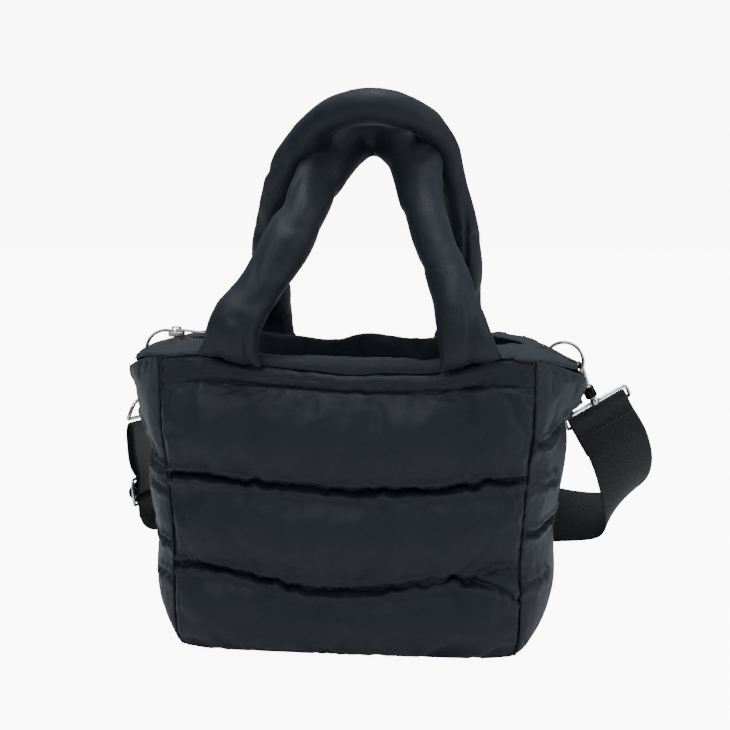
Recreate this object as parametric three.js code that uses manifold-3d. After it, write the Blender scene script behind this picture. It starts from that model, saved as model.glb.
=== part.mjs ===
// A black puffer tote bag: padded walls, open mouth, two stuffed tube handles and a clipped-on
// webbing strap. Millimetres, +Z up, the bag stands on z = 0, its front faces -Y.

import * as THREE from 'three';
import { mergeGeometries, mergeVertices } from 'three/addons/utils/BufferGeometryUtils.js';
import Module from 'manifold-3d';

const wasm = await Module();
wasm.setup();

// Driving sizes of the bag
const half_width = 123.5;
const half_depth = 62;
const body_height = 207;
const tip_reach = 164;
const seam_wall = 2.6;
const puff_height = 11;
const gusset_puff = 5.5;
const panel_bow = 4;
const base_thickness = 3.2;
const base_clearance = 2.4;
const gap = 0.3;

// Top band
const band_wall = 2.6;
const band_rise = 5;
const crest_inset = 8;
const facing_drop = 34;
const facing_ridge_drop = 7;
const ridge_half_gap = 1.9;

// Handles
const handle_height = 168;
const handle_radius = 16.5;
const handle_spread = 77;
const handle_base_width = 44;
const handle_base_thickness = 8;
const handle_sides = 12;
const handle_steps = 28;

// Rings, hooks and loops
const ring_radius = 14.6;
const ring_wire = 1.4;
const tab_width = 11;
const tab_thickness = 1.2;
const loop_wire = 1.5;
const loop_height = 15;
const hook_wire = 1.9;
const hook_bend = 6.6;
const hook_length = 34.2;
const barrel_radius = 4.4;
const barrel_bottom = 3.8;
const barrel_top = 14.8;
const post_radius = 1.7;
const post_head_radius = 2.8;
const post_head_bottom = 8.6;
const post_head_height = 1.6;
const gate_radius = 1.6;

// Strap
const strap_width = 48;
const strap_thickness = 1.3;
const strap_clearance = 0.4;
const slider_height = 20;
const slider_drop = 46;

// Zip
const zip_width = 5;
const zip_thickness = 1.2;
const slider_share = -0.79;
const bail_height = 3.8;
const slider_length = 11;
const slider_width = 8;
const slider_body = 3.6;
const pull_length = 24;
const pull_width = 5;
const pull_thickness = 1.2;
const pull_droop = 6;

// Level rows of the body's lining, as shares of height, half width, half depth and tip reach
const body_rows = [
  { level: 0.004, width: 0.915, depth: 0.93, tip: 0.735 },
  { level: 0.03, width: 0.945, depth: 0.985, tip: 0.79 },
  { level: 0.10, width: 0.955, depth: 1.0, tip: 0.83 },
  { level: 0.20, width: 0.95, depth: 1.0, tip: 0.845 },
  { level: 0.36, width: 0.945, depth: 1.0, tip: 0.845 },
  { level: 0.48, width: 0.955, depth: 1.0, tip: 0.865 },
  { level: 0.62, width: 0.97, depth: 1.0, tip: 0.875 },
  { level: 0.77, width: 1.0, depth: 1.0, tip: 0.905 },
  { level: 0.90, width: 1.0, depth: 1.0, tip: 0.945 },
  { level: 1.0, width: 1.0, depth: 1.0, tip: 1.0 },
];

// Quilting seams: height shares at the ends of the panel and in its middle
const panel_channels = [
  { name: 'hem', ends: 0.905, middle: 0.94, depth: 0.55 },
  { name: 'upper', ends: 0.605, middle: 0.60, depth: 1.0 },
  { name: 'lower', ends: 0.315, middle: 0.245, depth: 1.0 },
];
const gusset_channels = {
  left: [
    { name: 'upper', ends: 0.65, middle: 0.70, depth: 1.0 },
    { name: 'lower', ends: 0.36, middle: 0.37, depth: 1.0 },
  ],
  right: [
    { name: 'upper', ends: 0.73, middle: 0.80, depth: 1.0 },
    { name: 'lower', ends: 0.42, middle: 0.45, depth: 1.0 },
  ],
};

// Top seam and mouth, from the left tip to the right tip: shares of tip reach, body height, half depth
const mouth_rows = [
  { across: -1.0, seam: 0.915, crest: 0.922, back: 0.922, open: 0.0 },
  { across: -0.90, seam: 0.962, crest: 1.0, back: 1.0, open: 0.0 },
  { across: -0.82, seam: 0.985, crest: 1.022, back: 1.022, open: 0.0 },
  { across: -0.744, seam: 1.0, crest: 1.028, back: 1.028, open: 0.0 },
  { across: -0.67, seam: 1.006, crest: 1.029, back: 1.024, open: 0.16 },
  { across: -0.58, seam: 1.010, crest: 1.025, back: 1.0, open: 0.62 },
  { across: -0.46, seam: 0.995, crest: 1.010, back: 0.985, open: 0.93 },
  { across: -0.32, seam: 0.973, crest: 0.985, back: 0.975, open: 1.0 },
  { across: -0.15, seam: 0.962, crest: 0.982, back: 0.957, open: 1.0 },
  { across: 0.03, seam: 0.948, crest: 0.981, back: 0.988, open: 1.0 },
  { across: 0.18, seam: 0.955, crest: 0.981, back: 0.976, open: 1.0 },
  { across: 0.34, seam: 0.952, crest: 0.981, back: 0.972, open: 1.0 },
  { across: 0.46, seam: 0.985, crest: 1.0, back: 0.985, open: 0.95 },
  { across: 0.58, seam: 1.006, crest: 1.022, back: 1.0, open: 0.72 },
  { across: 0.67, seam: 1.008, crest: 1.026, back: 1.0, open: 0.35 },
  { across: 0.744, seam: 0.998, crest: 1.022, back: 1.010, open: 0.0 },
  { across: 0.82, seam: 0.975, crest: 1.0, back: 1.0, open: 0.0 },
  { across: 0.90, seam: 0.945, crest: 0.955, back: 0.955, open: 0.0 },
  { across: 1.0, seam: 0.898, crest: 0.905, back: 0.905, open: 0.0 },
];

// Handle centre lines: shares of the spread, half depth and handle height; thickness shares
const front_handle_rows = [
  { across: -0.99, along: -1.125, up: 0.0, thick: 1.0 },
  { across: -0.96, along: -1.17, up: 0.075, thick: 1.0 },
  { across: -0.92, along: -1.14, up: 0.15, thick: 1.05 },
  { across: -0.84, along: -1.02, up: 0.22, thick: 1.04 },
  { across: -0.57, along: -0.73, up: 0.45, thick: 1.06 },
  { across: -0.40, along: -0.46, up: 0.60, thick: 1.02 },
  { across: -0.27, along: -0.12, up: 0.715, thick: 0.86 },
  { across: -0.12, along: 0.18, up: 0.83, thick: 0.70 },
  { across: 0.14, along: 0.36, up: 0.925, thick: 0.64 },
  { across: 0.42, along: 0.16, up: 0.86, thick: 0.72 },
  { across: 0.55, along: -0.14, up: 0.745, thick: 0.82 },
  { across: 0.665, along: -0.42, up: 0.61, thick: 0.86 },
  { across: 0.77, along: -0.65, up: 0.475, thick: 0.88 },
  { across: 0.88, along: -0.84, up: 0.345, thick: 0.92 },
  { across: 0.98, along: -1.04, up: 0.20, thick: 1.0 },
  { across: 1.04, along: -1.17, up: 0.085, thick: 1.0 },
  { across: 1.09, along: -1.125, up: 0.0, thick: 1.0 },
];
const back_handle_rows = [
  { across: -0.96, along: 1.125, up: 0.0, thick: 0.95 },
  { across: -0.95, along: 1.17, up: 0.08, thick: 0.95 },
  { across: -0.93, along: 1.07, up: 0.19, thick: 0.95 },
  { across: -0.90, along: 0.88, up: 0.335, thick: 0.92 },
  { across: -0.85, along: 0.68, up: 0.51, thick: 0.92 },
  { across: -0.71, along: 0.42, up: 0.69, thick: 0.94 },
  { across: -0.48, along: 0.06, up: 0.875, thick: 0.90 },
  { across: -0.18, along: -0.28, up: 1.01, thick: 0.80 },
  { across: 0.18, along: -0.42, up: 1.045, thick: 0.76 },
  { across: 0.54, along: -0.34, up: 1.01, thick: 0.74 },
  { across: 0.80, along: 0.0, up: 0.915, thick: 0.68 },
  { across: 0.885, along: 0.30, up: 0.74, thick: 0.76 },
  { across: 0.98, along: 0.60, up: 0.535, thick: 0.82 },
  { across: 1.01, along: 0.83, up: 0.34, thick: 0.84 },
  { across: 1.0, along: 1.06, up: 0.19, thick: 0.92 },
  { across: 0.99, along: 1.17, up: 0.08, thick: 0.92 },
  { across: 0.98, along: 1.125, up: 0.0, thick: 0.92 },
];

// Where the snap hooks' loops hang: millimetres off the gusset's face, and shares of half depth and
// body height. Directions of the loop's bars, of the loop from its lower to its upper bar, of the hook
// along its swivel, of the hook's opened plane and of the webbing below the loop. The ring's place
// against the hook: degrees round the ring, and millimetres up the swivel's axis
const clip_rows = {
  left: {
    off: -30.71,
    along: 0.723,
    up: 0.756,
    bar: [0, 0.99, -0.13],
    loop: [0.36, 0.12, 0.925],
    axis: [0.36, 0.12, 0.925],
    plane: [0.34, -0.94, 0],
    hang: [0.084, -0.13, -0.988],
    contact: -65,
    reach: 28.3,
  },
  right: {
    off: 41.16,
    along: 0.71,
    up: 0.775,
    bar: [0.86, 0.1, 0.5],
    loop: [-0.36, -0.62, 0.62],
    axis: [-0.48, 0, 0.877],
    plane: [0.5, 0.86, 0.157],
    hang: [0.5, 0, -0.86],
    contact: -35,
    reach: 24.5,
  },
};
const ring_yaw = 20;

// The strap's way from the right loop round behind the bag to the slide on the left: shares of tip
// reach, half depth and body height; the rise and the turn of its width direction in degrees
const strap_rows = [
  { across: 1.185, along: 0.79, up: 0.632, rise: 26, swing: 88 },
  { across: 1.237, along: 0.85, up: 0.535, rise: 17, swing: 75 },
  { across: 1.252, along: 0.93, up: 0.447, rise: 14, swing: 60 },
  { across: 1.248, along: 1.05, up: 0.375, rise: 16, swing: 42 },
  { across: 1.215, along: 1.17, up: 0.325, rise: 22, swing: 20 },
  { across: 1.140, along: 1.29, up: 0.295, rise: 30, swing: 0 },
  { across: 1.044, along: 1.42, up: 0.283, rise: 40, swing: -11 },
  { across: 0.940, along: 1.53, up: 0.277, rise: 52, swing: -11 },
  { across: 0.700, along: 1.66, up: 0.256, rise: 68, swing: -11 },
  { across: 0.34, along: 1.74, up: 0.235, rise: 84, swing: 0 },
  { across: -0.08, along: 1.76, up: 0.235, rise: 87, swing: 30 },
  { across: -0.46, along: 1.64, up: 0.30, rise: 85, swing: 60 },
  { across: -0.76, along: 1.42, up: 0.36, rise: 76, swing: 60 },
  { across: -0.905, along: 1.13, up: 0.325, rise: 42, swing: 17 },
  { across: -0.985, along: 0.79, up: 0.292, rise: 4, swing: 6 },
];

const vec = (x, y, z) => new THREE.Vector3(x, y, z);
const lerp = THREE.MathUtils.lerp;
const clamp01 = (value) => THREE.MathUtils.clamp(value, 0, 1);
const degrees = THREE.MathUtils.degToRad;

// Smooth value of a table's column at a place in its key column
function column(rows, key, name, place) {
  let after = rows.findIndex((row) => row[key] >= place);
  after = after < 0 ? rows.length - 1 : Math.max(1, after);
  const a = rows[after - 1];
  const b = rows[after];
  const share = clamp01((place - a[key]) / (b[key] - a[key]));
  return lerp(a[name], b[name], share * share * (3 - 2 * share));
}

// One closed solid from a grid of stations, each a ring of the same number of points
function loft(stations, closed_along = false) {
  const sides = stations[0].length;
  const positions = stations.flat().flatMap((point) => [point.x, point.y, point.z]);
  const triangles = [];
  const rings = closed_along ? stations.length : stations.length - 1;
  for (let i = 0; i < rings; i += 1) {
    const next = (i + 1) % stations.length;
    for (let j = 0; j < sides; j += 1) {
      const side = (j + 1) % sides;
      const corners = [i * sides + j, i * sides + side, next * sides + side, next * sides + j];
      triangles.push(corners[0], corners[1], corners[2], corners[0], corners[2], corners[3]);
    }
  }
  if (!closed_along) {
    for (const end of [0, stations.length - 1]) {
      const ring = stations[end];
      const centre = ring.reduce((sum, point) => sum.add(point), vec(0, 0, 0)).divideScalar(sides);
      const middle = positions.length / 3;
      positions.push(centre.x, centre.y, centre.z);
      for (let j = 0; j < sides; j += 1) {
        const pair = [end * sides + j, end * sides + ((j + 1) % sides)];
        triangles.push(middle, ...(end === 0 ? [pair[1], pair[0]] : pair));
      }
    }
  }
  return outward(positions, triangles);
}

// Signed volume decides which way round the faces go
function outward(positions, triangles) {
  const corner = (index) => vec(positions[index * 3], positions[index * 3 + 1], positions[index * 3 + 2]);
  let volume = 0;
  for (let i = 0; i < triangles.length; i += 3) {
    const [a, b, c] = [0, 1, 2].map((k) => corner(triangles[i + k]));
    volume += a.dot(b.cross(c));
  }
  if (volume < 0) {
    for (let i = 0; i < triangles.length; i += 3) {
      [triangles[i], triangles[i + 1]] = [triangles[i + 1], triangles[i]];
    }
  }
  const geometry = new THREE.BufferGeometry();
  geometry.setAttribute('position', new THREE.Float32BufferAttribute(positions, 3));
  geometry.setIndex(triangles);
  return geometry;
}

// A padded wall: its lining inside, its quilted face outside, closed round the edge
function paddedWall(lining, padding, across, up) {
  const small = 1e-3;
  const faces = across.map((u) => up.map((v) => {
    const base = lining(u, v);
    const du = lining(Math.min(u + small, 1), v).sub(lining(Math.max(u - small, 0), v));
    const dv = lining(u, Math.min(v + small, 1)).sub(lining(u, Math.max(v - small, 0)));
    const normal = du.cross(dv).normalize();
    return [base, base.clone().addScaledVector(normal, padding(u, v))];
  }));
  const columns = across.length;
  const rows = up.length;
  const positions = [];
  for (const layer of [0, 1]) {
    for (const line of faces) {
      for (const pair of line) {
        positions.push(pair[layer].x, pair[layer].y, pair[layer].z);
      }
    }
  }
  const id = (layer, i, j) => layer * columns * rows + i * rows + j;
  const triangles = [];
  const quad = (a, b, c, d) => triangles.push(a, b, c, a, c, d);
  for (let i = 0; i + 1 < columns; i += 1) {
    for (let j = 0; j + 1 < rows; j += 1) {
      quad(id(1, i, j), id(1, i + 1, j), id(1, i + 1, j + 1), id(1, i, j + 1));
      quad(id(0, i, j), id(0, i, j + 1), id(0, i + 1, j + 1), id(0, i + 1, j));
    }
  }
  for (let i = 0; i + 1 < columns; i += 1) {
    quad(id(0, i, 0), id(0, i + 1, 0), id(1, i + 1, 0), id(1, i, 0));
    quad(id(1, i, rows - 1), id(1, i + 1, rows - 1), id(0, i + 1, rows - 1), id(0, i, rows - 1));
  }
  for (let j = 0; j + 1 < rows; j += 1) {
    quad(id(1, 0, j), id(1, 0, j + 1), id(0, 0, j + 1), id(0, 0, j));
    const last = columns - 1;
    quad(id(0, last, j), id(0, last, j + 1), id(1, last, j + 1), id(1, last, j));
  }
  return outward(positions, triangles);
}

// Place shares for a wall's grid: close together beside the quilting seams and the edges
const puff_shares = [0, 0.05, 0.2, 0.5, 0.8, 0.95];
function puffGrid(channels) {
  const stops = [0, ...channels.map((row) => row.middle).reverse(), 1];
  const grid = [];
  for (let k = 0; k + 1 < stops.length; k += 1) {
    const short = stops[k + 1] - stops[k] < 0.12;
    for (const share of short ? [0, 0.5] : puff_shares) {
      grid.push(lerp(stops[k], stops[k + 1], share));
    }
  }
  return [...grid, 1];
}

// A grid row follows the quilting seams: it is bent to the seams' own heights across the wall
function followChannels(channels, u, v) {
  const low_high = [...channels].reverse();
  const level = (row) => lerp(row.ends, row.middle, Math.sin(Math.PI * u));
  const from = [0, ...low_high.map((row) => row.middle), 1];
  const to = [0, ...low_high.map(level), 1];
  const k = Math.min(from.findIndex((stop, i) => i > 0 && v <= stop + 1e-9), from.length - 1);
  return lerp(to[k - 1], to[k], (v - from[k - 1]) / (from[k] - from[k - 1]));
}

// Puff thickness at a grid place: full between seams, thin at seams and at the wall's edges
function puffShape(channels, u, v, edge) {
  const stops = [0, ...channels.map((row) => row.middle).reverse(), 1];
  const k = Math.min(stops.findIndex((stop, i) => i > 0 && v <= stop + 1e-9), stops.length - 1);
  const place = (v - stops[k - 1]) / (stops[k] - stops[k - 1]);
  const tall = Math.min(1, (stops[k] - stops[k - 1]) * 5);
  const side = Math.pow(clamp01(Math.min(u, 1 - u) / edge), 0.5);
  return tall * side * Math.pow(Math.sin(Math.PI * clamp01(place)), 0.6);
}

const seamLevel = (x) => column(mouth_rows, 'across', 'seam', x / tip_reach) * body_height;

// Lining of the front wall (side -1) or the back wall (side 1)
function panelLining(side) {
  return (u, v) => {
    const level = followChannels(panel_channels, u, v);
    const across = 2 * u - 1;
    const x = -side * across * (column(body_rows, 'level', 'width', level) * half_width - gap);
    const depth = column(body_rows, 'level', 'depth', level) * half_depth;
    const bow = panel_bow * Math.sin(Math.PI * u) * Math.sin(Math.PI * level);
    return vec(x, side * (depth + bow), base_clearance + level * (seamLevel(x) - base_clearance - gap));
  };
}

// Lining of a gusset: a round arch low down, a pointed tent at the tip
function gussetLining(name) {
  const side = name === 'right' ? 1 : -1;
  return (u, v) => {
    const level = followChannels(gusset_channels[name], u, v);
    const edge = column(body_rows, 'level', 'width', level) * half_width + gap;
    const tip = column(body_rows, 'level', 'tip', level) * tip_reach;
    const round = Math.pow(Math.sin(Math.PI * u), 0.8);
    const tent = 1 - Math.abs(2 * u - 1);
    const x = edge + (tip - edge) * lerp(round, tent, Math.pow(level, 2));
    const y = side * (2 * u - 1) * (column(body_rows, 'level', 'depth', level) * half_depth - gap);
    const top = seamLevel(side * x) - gap;
    return vec(side * x, y, base_clearance + level * (top - base_clearance));
  };
}

const across_panel = [
  0, 0.015, 0.05, 0.11, 0.18, 0.26, 0.34, 0.42, 0.5, 0.58, 0.66, 0.74, 0.82, 0.89, 0.95, 0.985, 1,
];
const across_gusset = [0, 0.04, 0.14, 0.27, 0.40, 0.5, 0.60, 0.73, 0.86, 0.96, 1];

function panel(side) {
  const padding = (u, v) => seam_wall + puff_height * puffShape(panel_channels, u, v, 0.10);
  return paddedWall(panelLining(side), padding, across_panel, puffGrid(panel_channels));
}

function gusset(name) {
  const channels = gusset_channels[name];
  const padding = (u, v) => seam_wall + gusset_puff * puffShape(channels, u, v, 0.28);
  return paddedWall(gussetLining(name), padding, across_gusset, puffGrid(channels));
}

// Base: a flat plate inside the walls' lower edges, its rim drawn from the same linings
function basePanel() {
  const rim = [];
  const low = 0;
  for (const [lining, inset] of [
    [panelLining(-1), 1], [gussetLining('right'), 1], [panelLining(1), 1], [gussetLining('left'), 1],
  ]) {
    for (const u of [0.02, 0.2, 0.4, 0.6, 0.8, 0.98]) {
      const point = lining(u, low);
      const inward = vec(-point.x, -point.y, 0).normalize().multiplyScalar(inset * gap * 2);
      rim.push(point.add(inward));
    }
  }
  const stations = [0, base_thickness].map((z) => rim.map((point) => vec(point.x, point.y, z)));
  return loft(stations);
}

// Places of the cuts through a band, as shares of the tip reach
const bandPlaces = () => Array.from({ length: 37 }, (_, i) => lerp(-0.965, 0.965, i / 36));

// Crest of a top band: how far off the middle, how high, and how far the mouth is open there
function crestAt(x, crest_column) {
  const across = x / tip_reach;
  const beyond = clamp01((Math.abs(x) - half_width) / (tip_reach - half_width));
  const open = column(mouth_rows, 'across', 'open', across);
  const crest_y = lerp(ridge_half_gap, half_depth + seam_wall - crest_inset, open) * (1 - beyond)
    + ridge_half_gap * beyond;
  const crest_z = column(mouth_rows, 'across', crest_column, across) * body_height + band_rise * open;
  return { crest_y, crest_z, open, beyond };
}

// Front (side -1) or back (side 1) top band: over the seam, up to the crest, down as a facing
function topBand(side) {
  const crest_column = side < 0 ? 'crest' : 'back';
  const stations = [];
  for (const across of bandPlaces()) {
    const x = across * tip_reach;
    const { crest_y, crest_z, open, beyond } = crestAt(x, crest_column);
    const seam_y = (half_depth + seam_wall) * (1 - beyond) + ridge_half_gap * beyond;
    const inboard = x - Math.sign(x) * seam_wall * 2.4 * (beyond > 0 ? 1 : 0);
    const seam_z = Math.max(seamLevel(x), seamLevel(inboard)) + gap;
    const top_z = Math.max(crest_z, seam_z + 3.4);
    stations.push(bandSection(x, side, seam_y, seam_z, crest_y, top_z, open));
  }
  return loft(stations);
}

// One cut through a band: outer face from the seam over the crest and down, then back up inside
function bandSection(x, side, seam_y, seam_z, crest_y, crest_z, open) {
  const drop = lerp(facing_ridge_drop, facing_drop, open);
  const middle = Math.max(drop * 0.4, band_wall + 1.8);
  const rise = crest_z - seam_z;
  const reach = Math.max(seam_y - crest_y, 0.6);
  const roof = 1 - open;
  const outer = [
    [seam_y, seam_z],
    [seam_y - reach * 0.05, seam_z + rise * 0.45],
    [seam_y - reach * 0.40, seam_z + rise * lerp(0.95, 0.62, roof)],
    [crest_y + reach * 0.12, seam_z + rise * lerp(1.0, 0.94, roof)],
    [crest_y, crest_z - 1.2],
    [crest_y - 0.3 * open, crest_z - middle],
    [crest_y - 0.3 * open, crest_z - drop],
  ];
  const wall = Math.min(band_wall, 0.35 * (seam_y + 1));
  const inner = [
    [crest_y + wall, crest_z - drop],
    [crest_y + wall, crest_z - middle],
    [crest_y + wall, crest_z - 1.2 - wall],
    [Math.max(seam_y - wall, crest_y + wall + 0.1), seam_z + rise * 0.2],
    [Math.max(seam_y - wall, crest_y + wall + 0.1), seam_z],
  ];
  return [...outer, ...inner].map(([y, z]) => vec(x, side * y, z));
}

// Smooth curve and thickness along a handle
function handle(rows, side) {
  const points = rows.map((row) => vec(
    row.across * handle_spread,
    row.along * half_depth,
    seamLevel(row.across * handle_spread) + gap + row.up * handle_height,
  ));
  const curve = new THREE.CatmullRomCurve3(points, false, 'centripetal');
  const stations = [];
  for (let i = 0; i <= handle_steps; i += 1) {
    const share = i / handle_steps;
    const centre = curve.getPoint(share);
    const tangent = curve.getTangent(share);
    const place = share * (rows.length - 1);
    const k = Math.min(Math.floor(place), rows.length - 2);
    const radius = handle_radius * lerp(rows[k].thick, rows[k + 1].thick, place - k);
    const foot = clamp01(1 - Math.min(share, 1 - share) / 0.14);
    const flat = Math.pow(foot, 1.6);
    const wide = lerp(radius, handle_base_width / 2, flat);
    const thick = lerp(radius, handle_base_thickness / 2, flat);
    const front = vec(0, side, 0);
    const out = front.addScaledVector(tangent, -front.dot(tangent)).normalize();
    const along = tangent.clone().cross(out).normalize();
    const level = foot > 0.99;
    const ring = [];
    for (let j = 0; j < handle_sides; j += 1) {
      const angle = (2 * Math.PI * j) / handle_sides;
      const point = centre.clone()
        .addScaledVector(along, Math.cos(angle) * wide)
        .addScaledVector(out, Math.sin(angle) * thick);
      if (level) {
        point.z = seamLevel(point.x) + gap;
      }
      ring.push(point);
    }
    stations.push(ring);
  }
  return loft(stations);
}

// A round wire along points, closed or with flat ends
function wire(points, radius, sides, closed) {
  const stations = points.map((point, i) => {
    const before = points[closed ? (i + points.length - 1) % points.length : Math.max(i - 1, 0)];
    const after = points[closed ? (i + 1) % points.length : Math.min(i + 1, points.length - 1)];
    const tangent = after.clone().sub(before).normalize();
    const across = tangent.clone().cross(vec(0, 1, 0)).normalize();
    const up = across.clone().cross(tangent);
    return Array.from({ length: sides }, (_, j) => {
      const angle = (2 * Math.PI * (j + 0.5)) / sides;
      return point.clone()
        .addScaledVector(across, radius * Math.cos(angle))
        .addScaledVector(up, radius * Math.sin(angle));
    });
  });
  return loft(stations, closed);
}

function solidOf(geometry) {
  const bare = new THREE.BufferGeometry();
  bare.setAttribute('position', geometry.getAttribute('position'));
  bare.setIndex(geometry.getIndex());
  const merged = mergeVertices(bare, 1e-4);
  return new wasm.Manifold(new wasm.Mesh({
    numProp: 3,
    vertProperties: new Float32Array(merged.getAttribute('position').array),
    triVerts: new Uint32Array(merged.getIndex().array),
  }));
}

function geometryOf(solid) {
  const mesh = solid.getMesh();
  const geometry = new THREE.BufferGeometry();
  geometry.setAttribute('position', new THREE.Float32BufferAttribute(mesh.vertProperties, 3));
  geometry.setIndex([...mesh.triVerts]);
  return geometry;
}

const fuse = (...geometries) => geometryOf(geometries.map(solidOf).reduce((sum, next) => sum.add(next)));
const cut = (geometry, tool) => geometryOf(solidOf(geometry).subtract(solidOf(tool)));

// A turned piece on the local z axis, from pairs of radius and height
function turned(profile, sides) {
  const lathe = new THREE.LatheGeometry(profile.map(([r, z]) => new THREE.Vector2(r, z)), sides);
  lathe.deleteAttribute('normal');
  lathe.deleteAttribute('uv');
  const merged = mergeVertices(lathe, 1e-4);
  merged.rotateX(Math.PI / 2);
  return outward([...merged.getAttribute('position').array], dropFlat(merged));
}

// Triangles of a turned piece without the collapsed ones at the axis
function dropFlat(geometry) {
  const index = [...geometry.getIndex().array];
  const kept = [];
  for (let i = 0; i < index.length; i += 3) {
    const [a, b, c] = index.slice(i, i + 3);
    if (a !== b && b !== c && a !== c) {
      kept.push(a, b, c);
    }
  }
  return kept;
}

// Frame of a clip: its origin at the loop's upper bar, where the hook's swivel post stands
function clipFrame(name) {
  const row = clip_rows[name];
  const bar = vec(...row.bar).normalize();
  const loop_up = vec(...row.loop);
  loop_up.addScaledVector(bar, -bar.dot(loop_up)).normalize();
  const axis = vec(...row.axis).normalize();
  const plane = vec(...row.plane);
  plane.addScaledVector(axis, -axis.dot(plane)).normalize();
  const y = row.along * half_depth;
  const z = row.up * body_height;
  const origin = vec(gussetFace(name, y, z).point.x + row.off, y, z);
  return { row, bar, loop_up, axis, plane, origin };
}

// Matrix of a piece drawn with its x along one direction and its z up another
function placed(origin, side, up) {
  return new THREE.Matrix4().makeBasis(side, up.clone().cross(side), up).setPosition(origin);
}

function hookMatrix(name) {
  const { origin, plane, axis } = clipFrame(name);
  return placed(origin, plane, axis);
}

// Oblong loop, with the hook's swivel post fused to its upper bar
function strapLoop(name) {
  const { origin, bar, loop_up } = clipFrame(name);
  const half = strap_width / 2 + 1.2 + loop_wire;
  const points = [];
  const corners = [[1, 0, 0, 5], [1, -1, -90, 2.4], [-1, -1, -180, 2.4], [-1, 0, -270, 5]];
  for (const [sx, sz, start, corner] of corners) {
    const cx = sx * (half - corner);
    const cz = sz === 0 ? -corner : -loop_height + corner;
    for (const turn of [90, 60, 30, 0]) {
      const angle = degrees(start + turn);
      points.push(vec(cx + corner * Math.cos(angle), 0, cz + corner * Math.sin(angle)));
    }
  }
  const frame = wire(points, loop_wire, 6, true);
  frame.applyMatrix4(placed(origin, bar, loop_up));
  const post = turned([
    [0, -2.3], [2.4, -2.3], [3.2, -1.4], [3.2, 1.8],
    [2.6, barrel_bottom - gap], [post_radius, barrel_bottom - gap],
    [post_radius, post_head_bottom], [post_head_radius, post_head_bottom],
    [post_head_radius, post_head_bottom + post_head_height], [0, post_head_bottom + post_head_height],
  ], 12);
  post.applyMatrix4(hookMatrix(name));
  return fuse(frame, post);
}

const gate_pivot_side = -3.4;
const gate_pivot_height = barrel_top + 1.2;
const bend_centre = hook_length - hook_wire - hook_bend;

// Snap hook: barrel on the post and a bent hook over it, in its own x-z plane
function hookBody() {
  const clear = gap + 0.05;
  const barrel = turned([
    [post_radius + clear, barrel_bottom], [barrel_radius - 0.8, barrel_bottom],
    [barrel_radius, barrel_bottom + 1.5], [barrel_radius, barrel_top - 2.5],
    [barrel_radius - 1.4, barrel_top], [0, barrel_top], [0, post_head_bottom + post_head_height + clear],
    [post_head_radius + clear, post_head_bottom + post_head_height + clear],
    [post_head_radius + clear, post_head_bottom - clear], [post_radius + clear, post_head_bottom - clear],
    [post_radius + clear, barrel_bottom],
  ], 12);
  const points = [
    vec(1.6, 0, barrel_top - 1.5),
    vec(3.4, 0, barrel_top + 1.5),
    vec(hook_bend - 0.4, 0, bend_centre - 5),
  ];
  for (let turn = 0; turn <= 180; turn += 22.5) {
    const angle = degrees(turn);
    points.push(vec(hook_bend * Math.cos(angle), 0, bend_centre + hook_bend * Math.sin(angle)));
  }
  points.push(vec(-hook_bend, 0, bend_centre - 1.2));
  const room = new THREE.BoxGeometry(4, 2 * gate_radius + 1.2, 4.2);
  room.translate(gate_pivot_side - 1.2, 0, gate_pivot_height);
  return cut(fuse(barrel, wire(points, hook_wire, 8, false)), room);
}

// Gate: a straight sprung bar from its pivot to just under the hook's point
function hookGate() {
  const start = vec(gate_pivot_side, 0, gate_pivot_height - 0.6);
  const end = vec(-hook_bend, 0, bend_centre - 1.2 - gap - gate_radius * 0.35);
  const points = [0, 0.3, 0.7, 1].map((share) => start.clone().lerp(end, share));
  return wire(points, gate_radius, 8, false);
}

// Ring round the place where the hook holds it
function ring(name) {
  const side = name === 'right' ? 1 : -1;
  const { row, axis, origin } = clipFrame(name);
  const contact = origin.clone().addScaledVector(axis, row.reach);
  const flat = vec(side * Math.cos(degrees(ring_yaw)), -Math.sin(degrees(ring_yaw)), 0);
  const angle = degrees(row.contact);
  const centre = contact.clone()
    .addScaledVector(flat, -ring_radius * Math.cos(angle))
    .addScaledVector(vec(0, 0, 1), -ring_radius * Math.sin(angle));
  const at = (turn, radius) => centre.clone()
    .addScaledVector(flat, radius * Math.cos(turn))
    .addScaledVector(vec(0, 0, 1), radius * Math.sin(turn));
  return { centre, flat, at };
}

function ringWire(name) {
  const { at } = ring(name);
  const count = 22;
  const points = Array.from({ length: count }, (_, i) => at((2 * Math.PI * i) / count, ring_radius));
  return wire(points, ring_wire, 6, true);
}

// A flat ribbon along stations of centre, width direction and face direction
function ribbon(stations, width, thickness) {
  const corners = [[-1, -1], [1, -1], [1, 1], [-1, 1]];
  return loft(stations.map(({ centre, side, face }) => corners.map(([a, b]) => (
    centre.clone().addScaledVector(side, (a * width) / 2).addScaledVector(face, (b * thickness) / 2)
  ))));
}

// Face directions of a ribbon whose centre line and width directions are known
function withFaces(line) {
  return line.map(({ centre, side }, i) => {
    const before = line[Math.max(i - 1, 0)].centre;
    const after = line[Math.min(i + 1, line.length - 1)].centre;
    const tangent = after.clone().sub(before).normalize();
    return { centre, side: side.clone().normalize(), face: tangent.cross(side).normalize() };
  });
}

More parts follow.
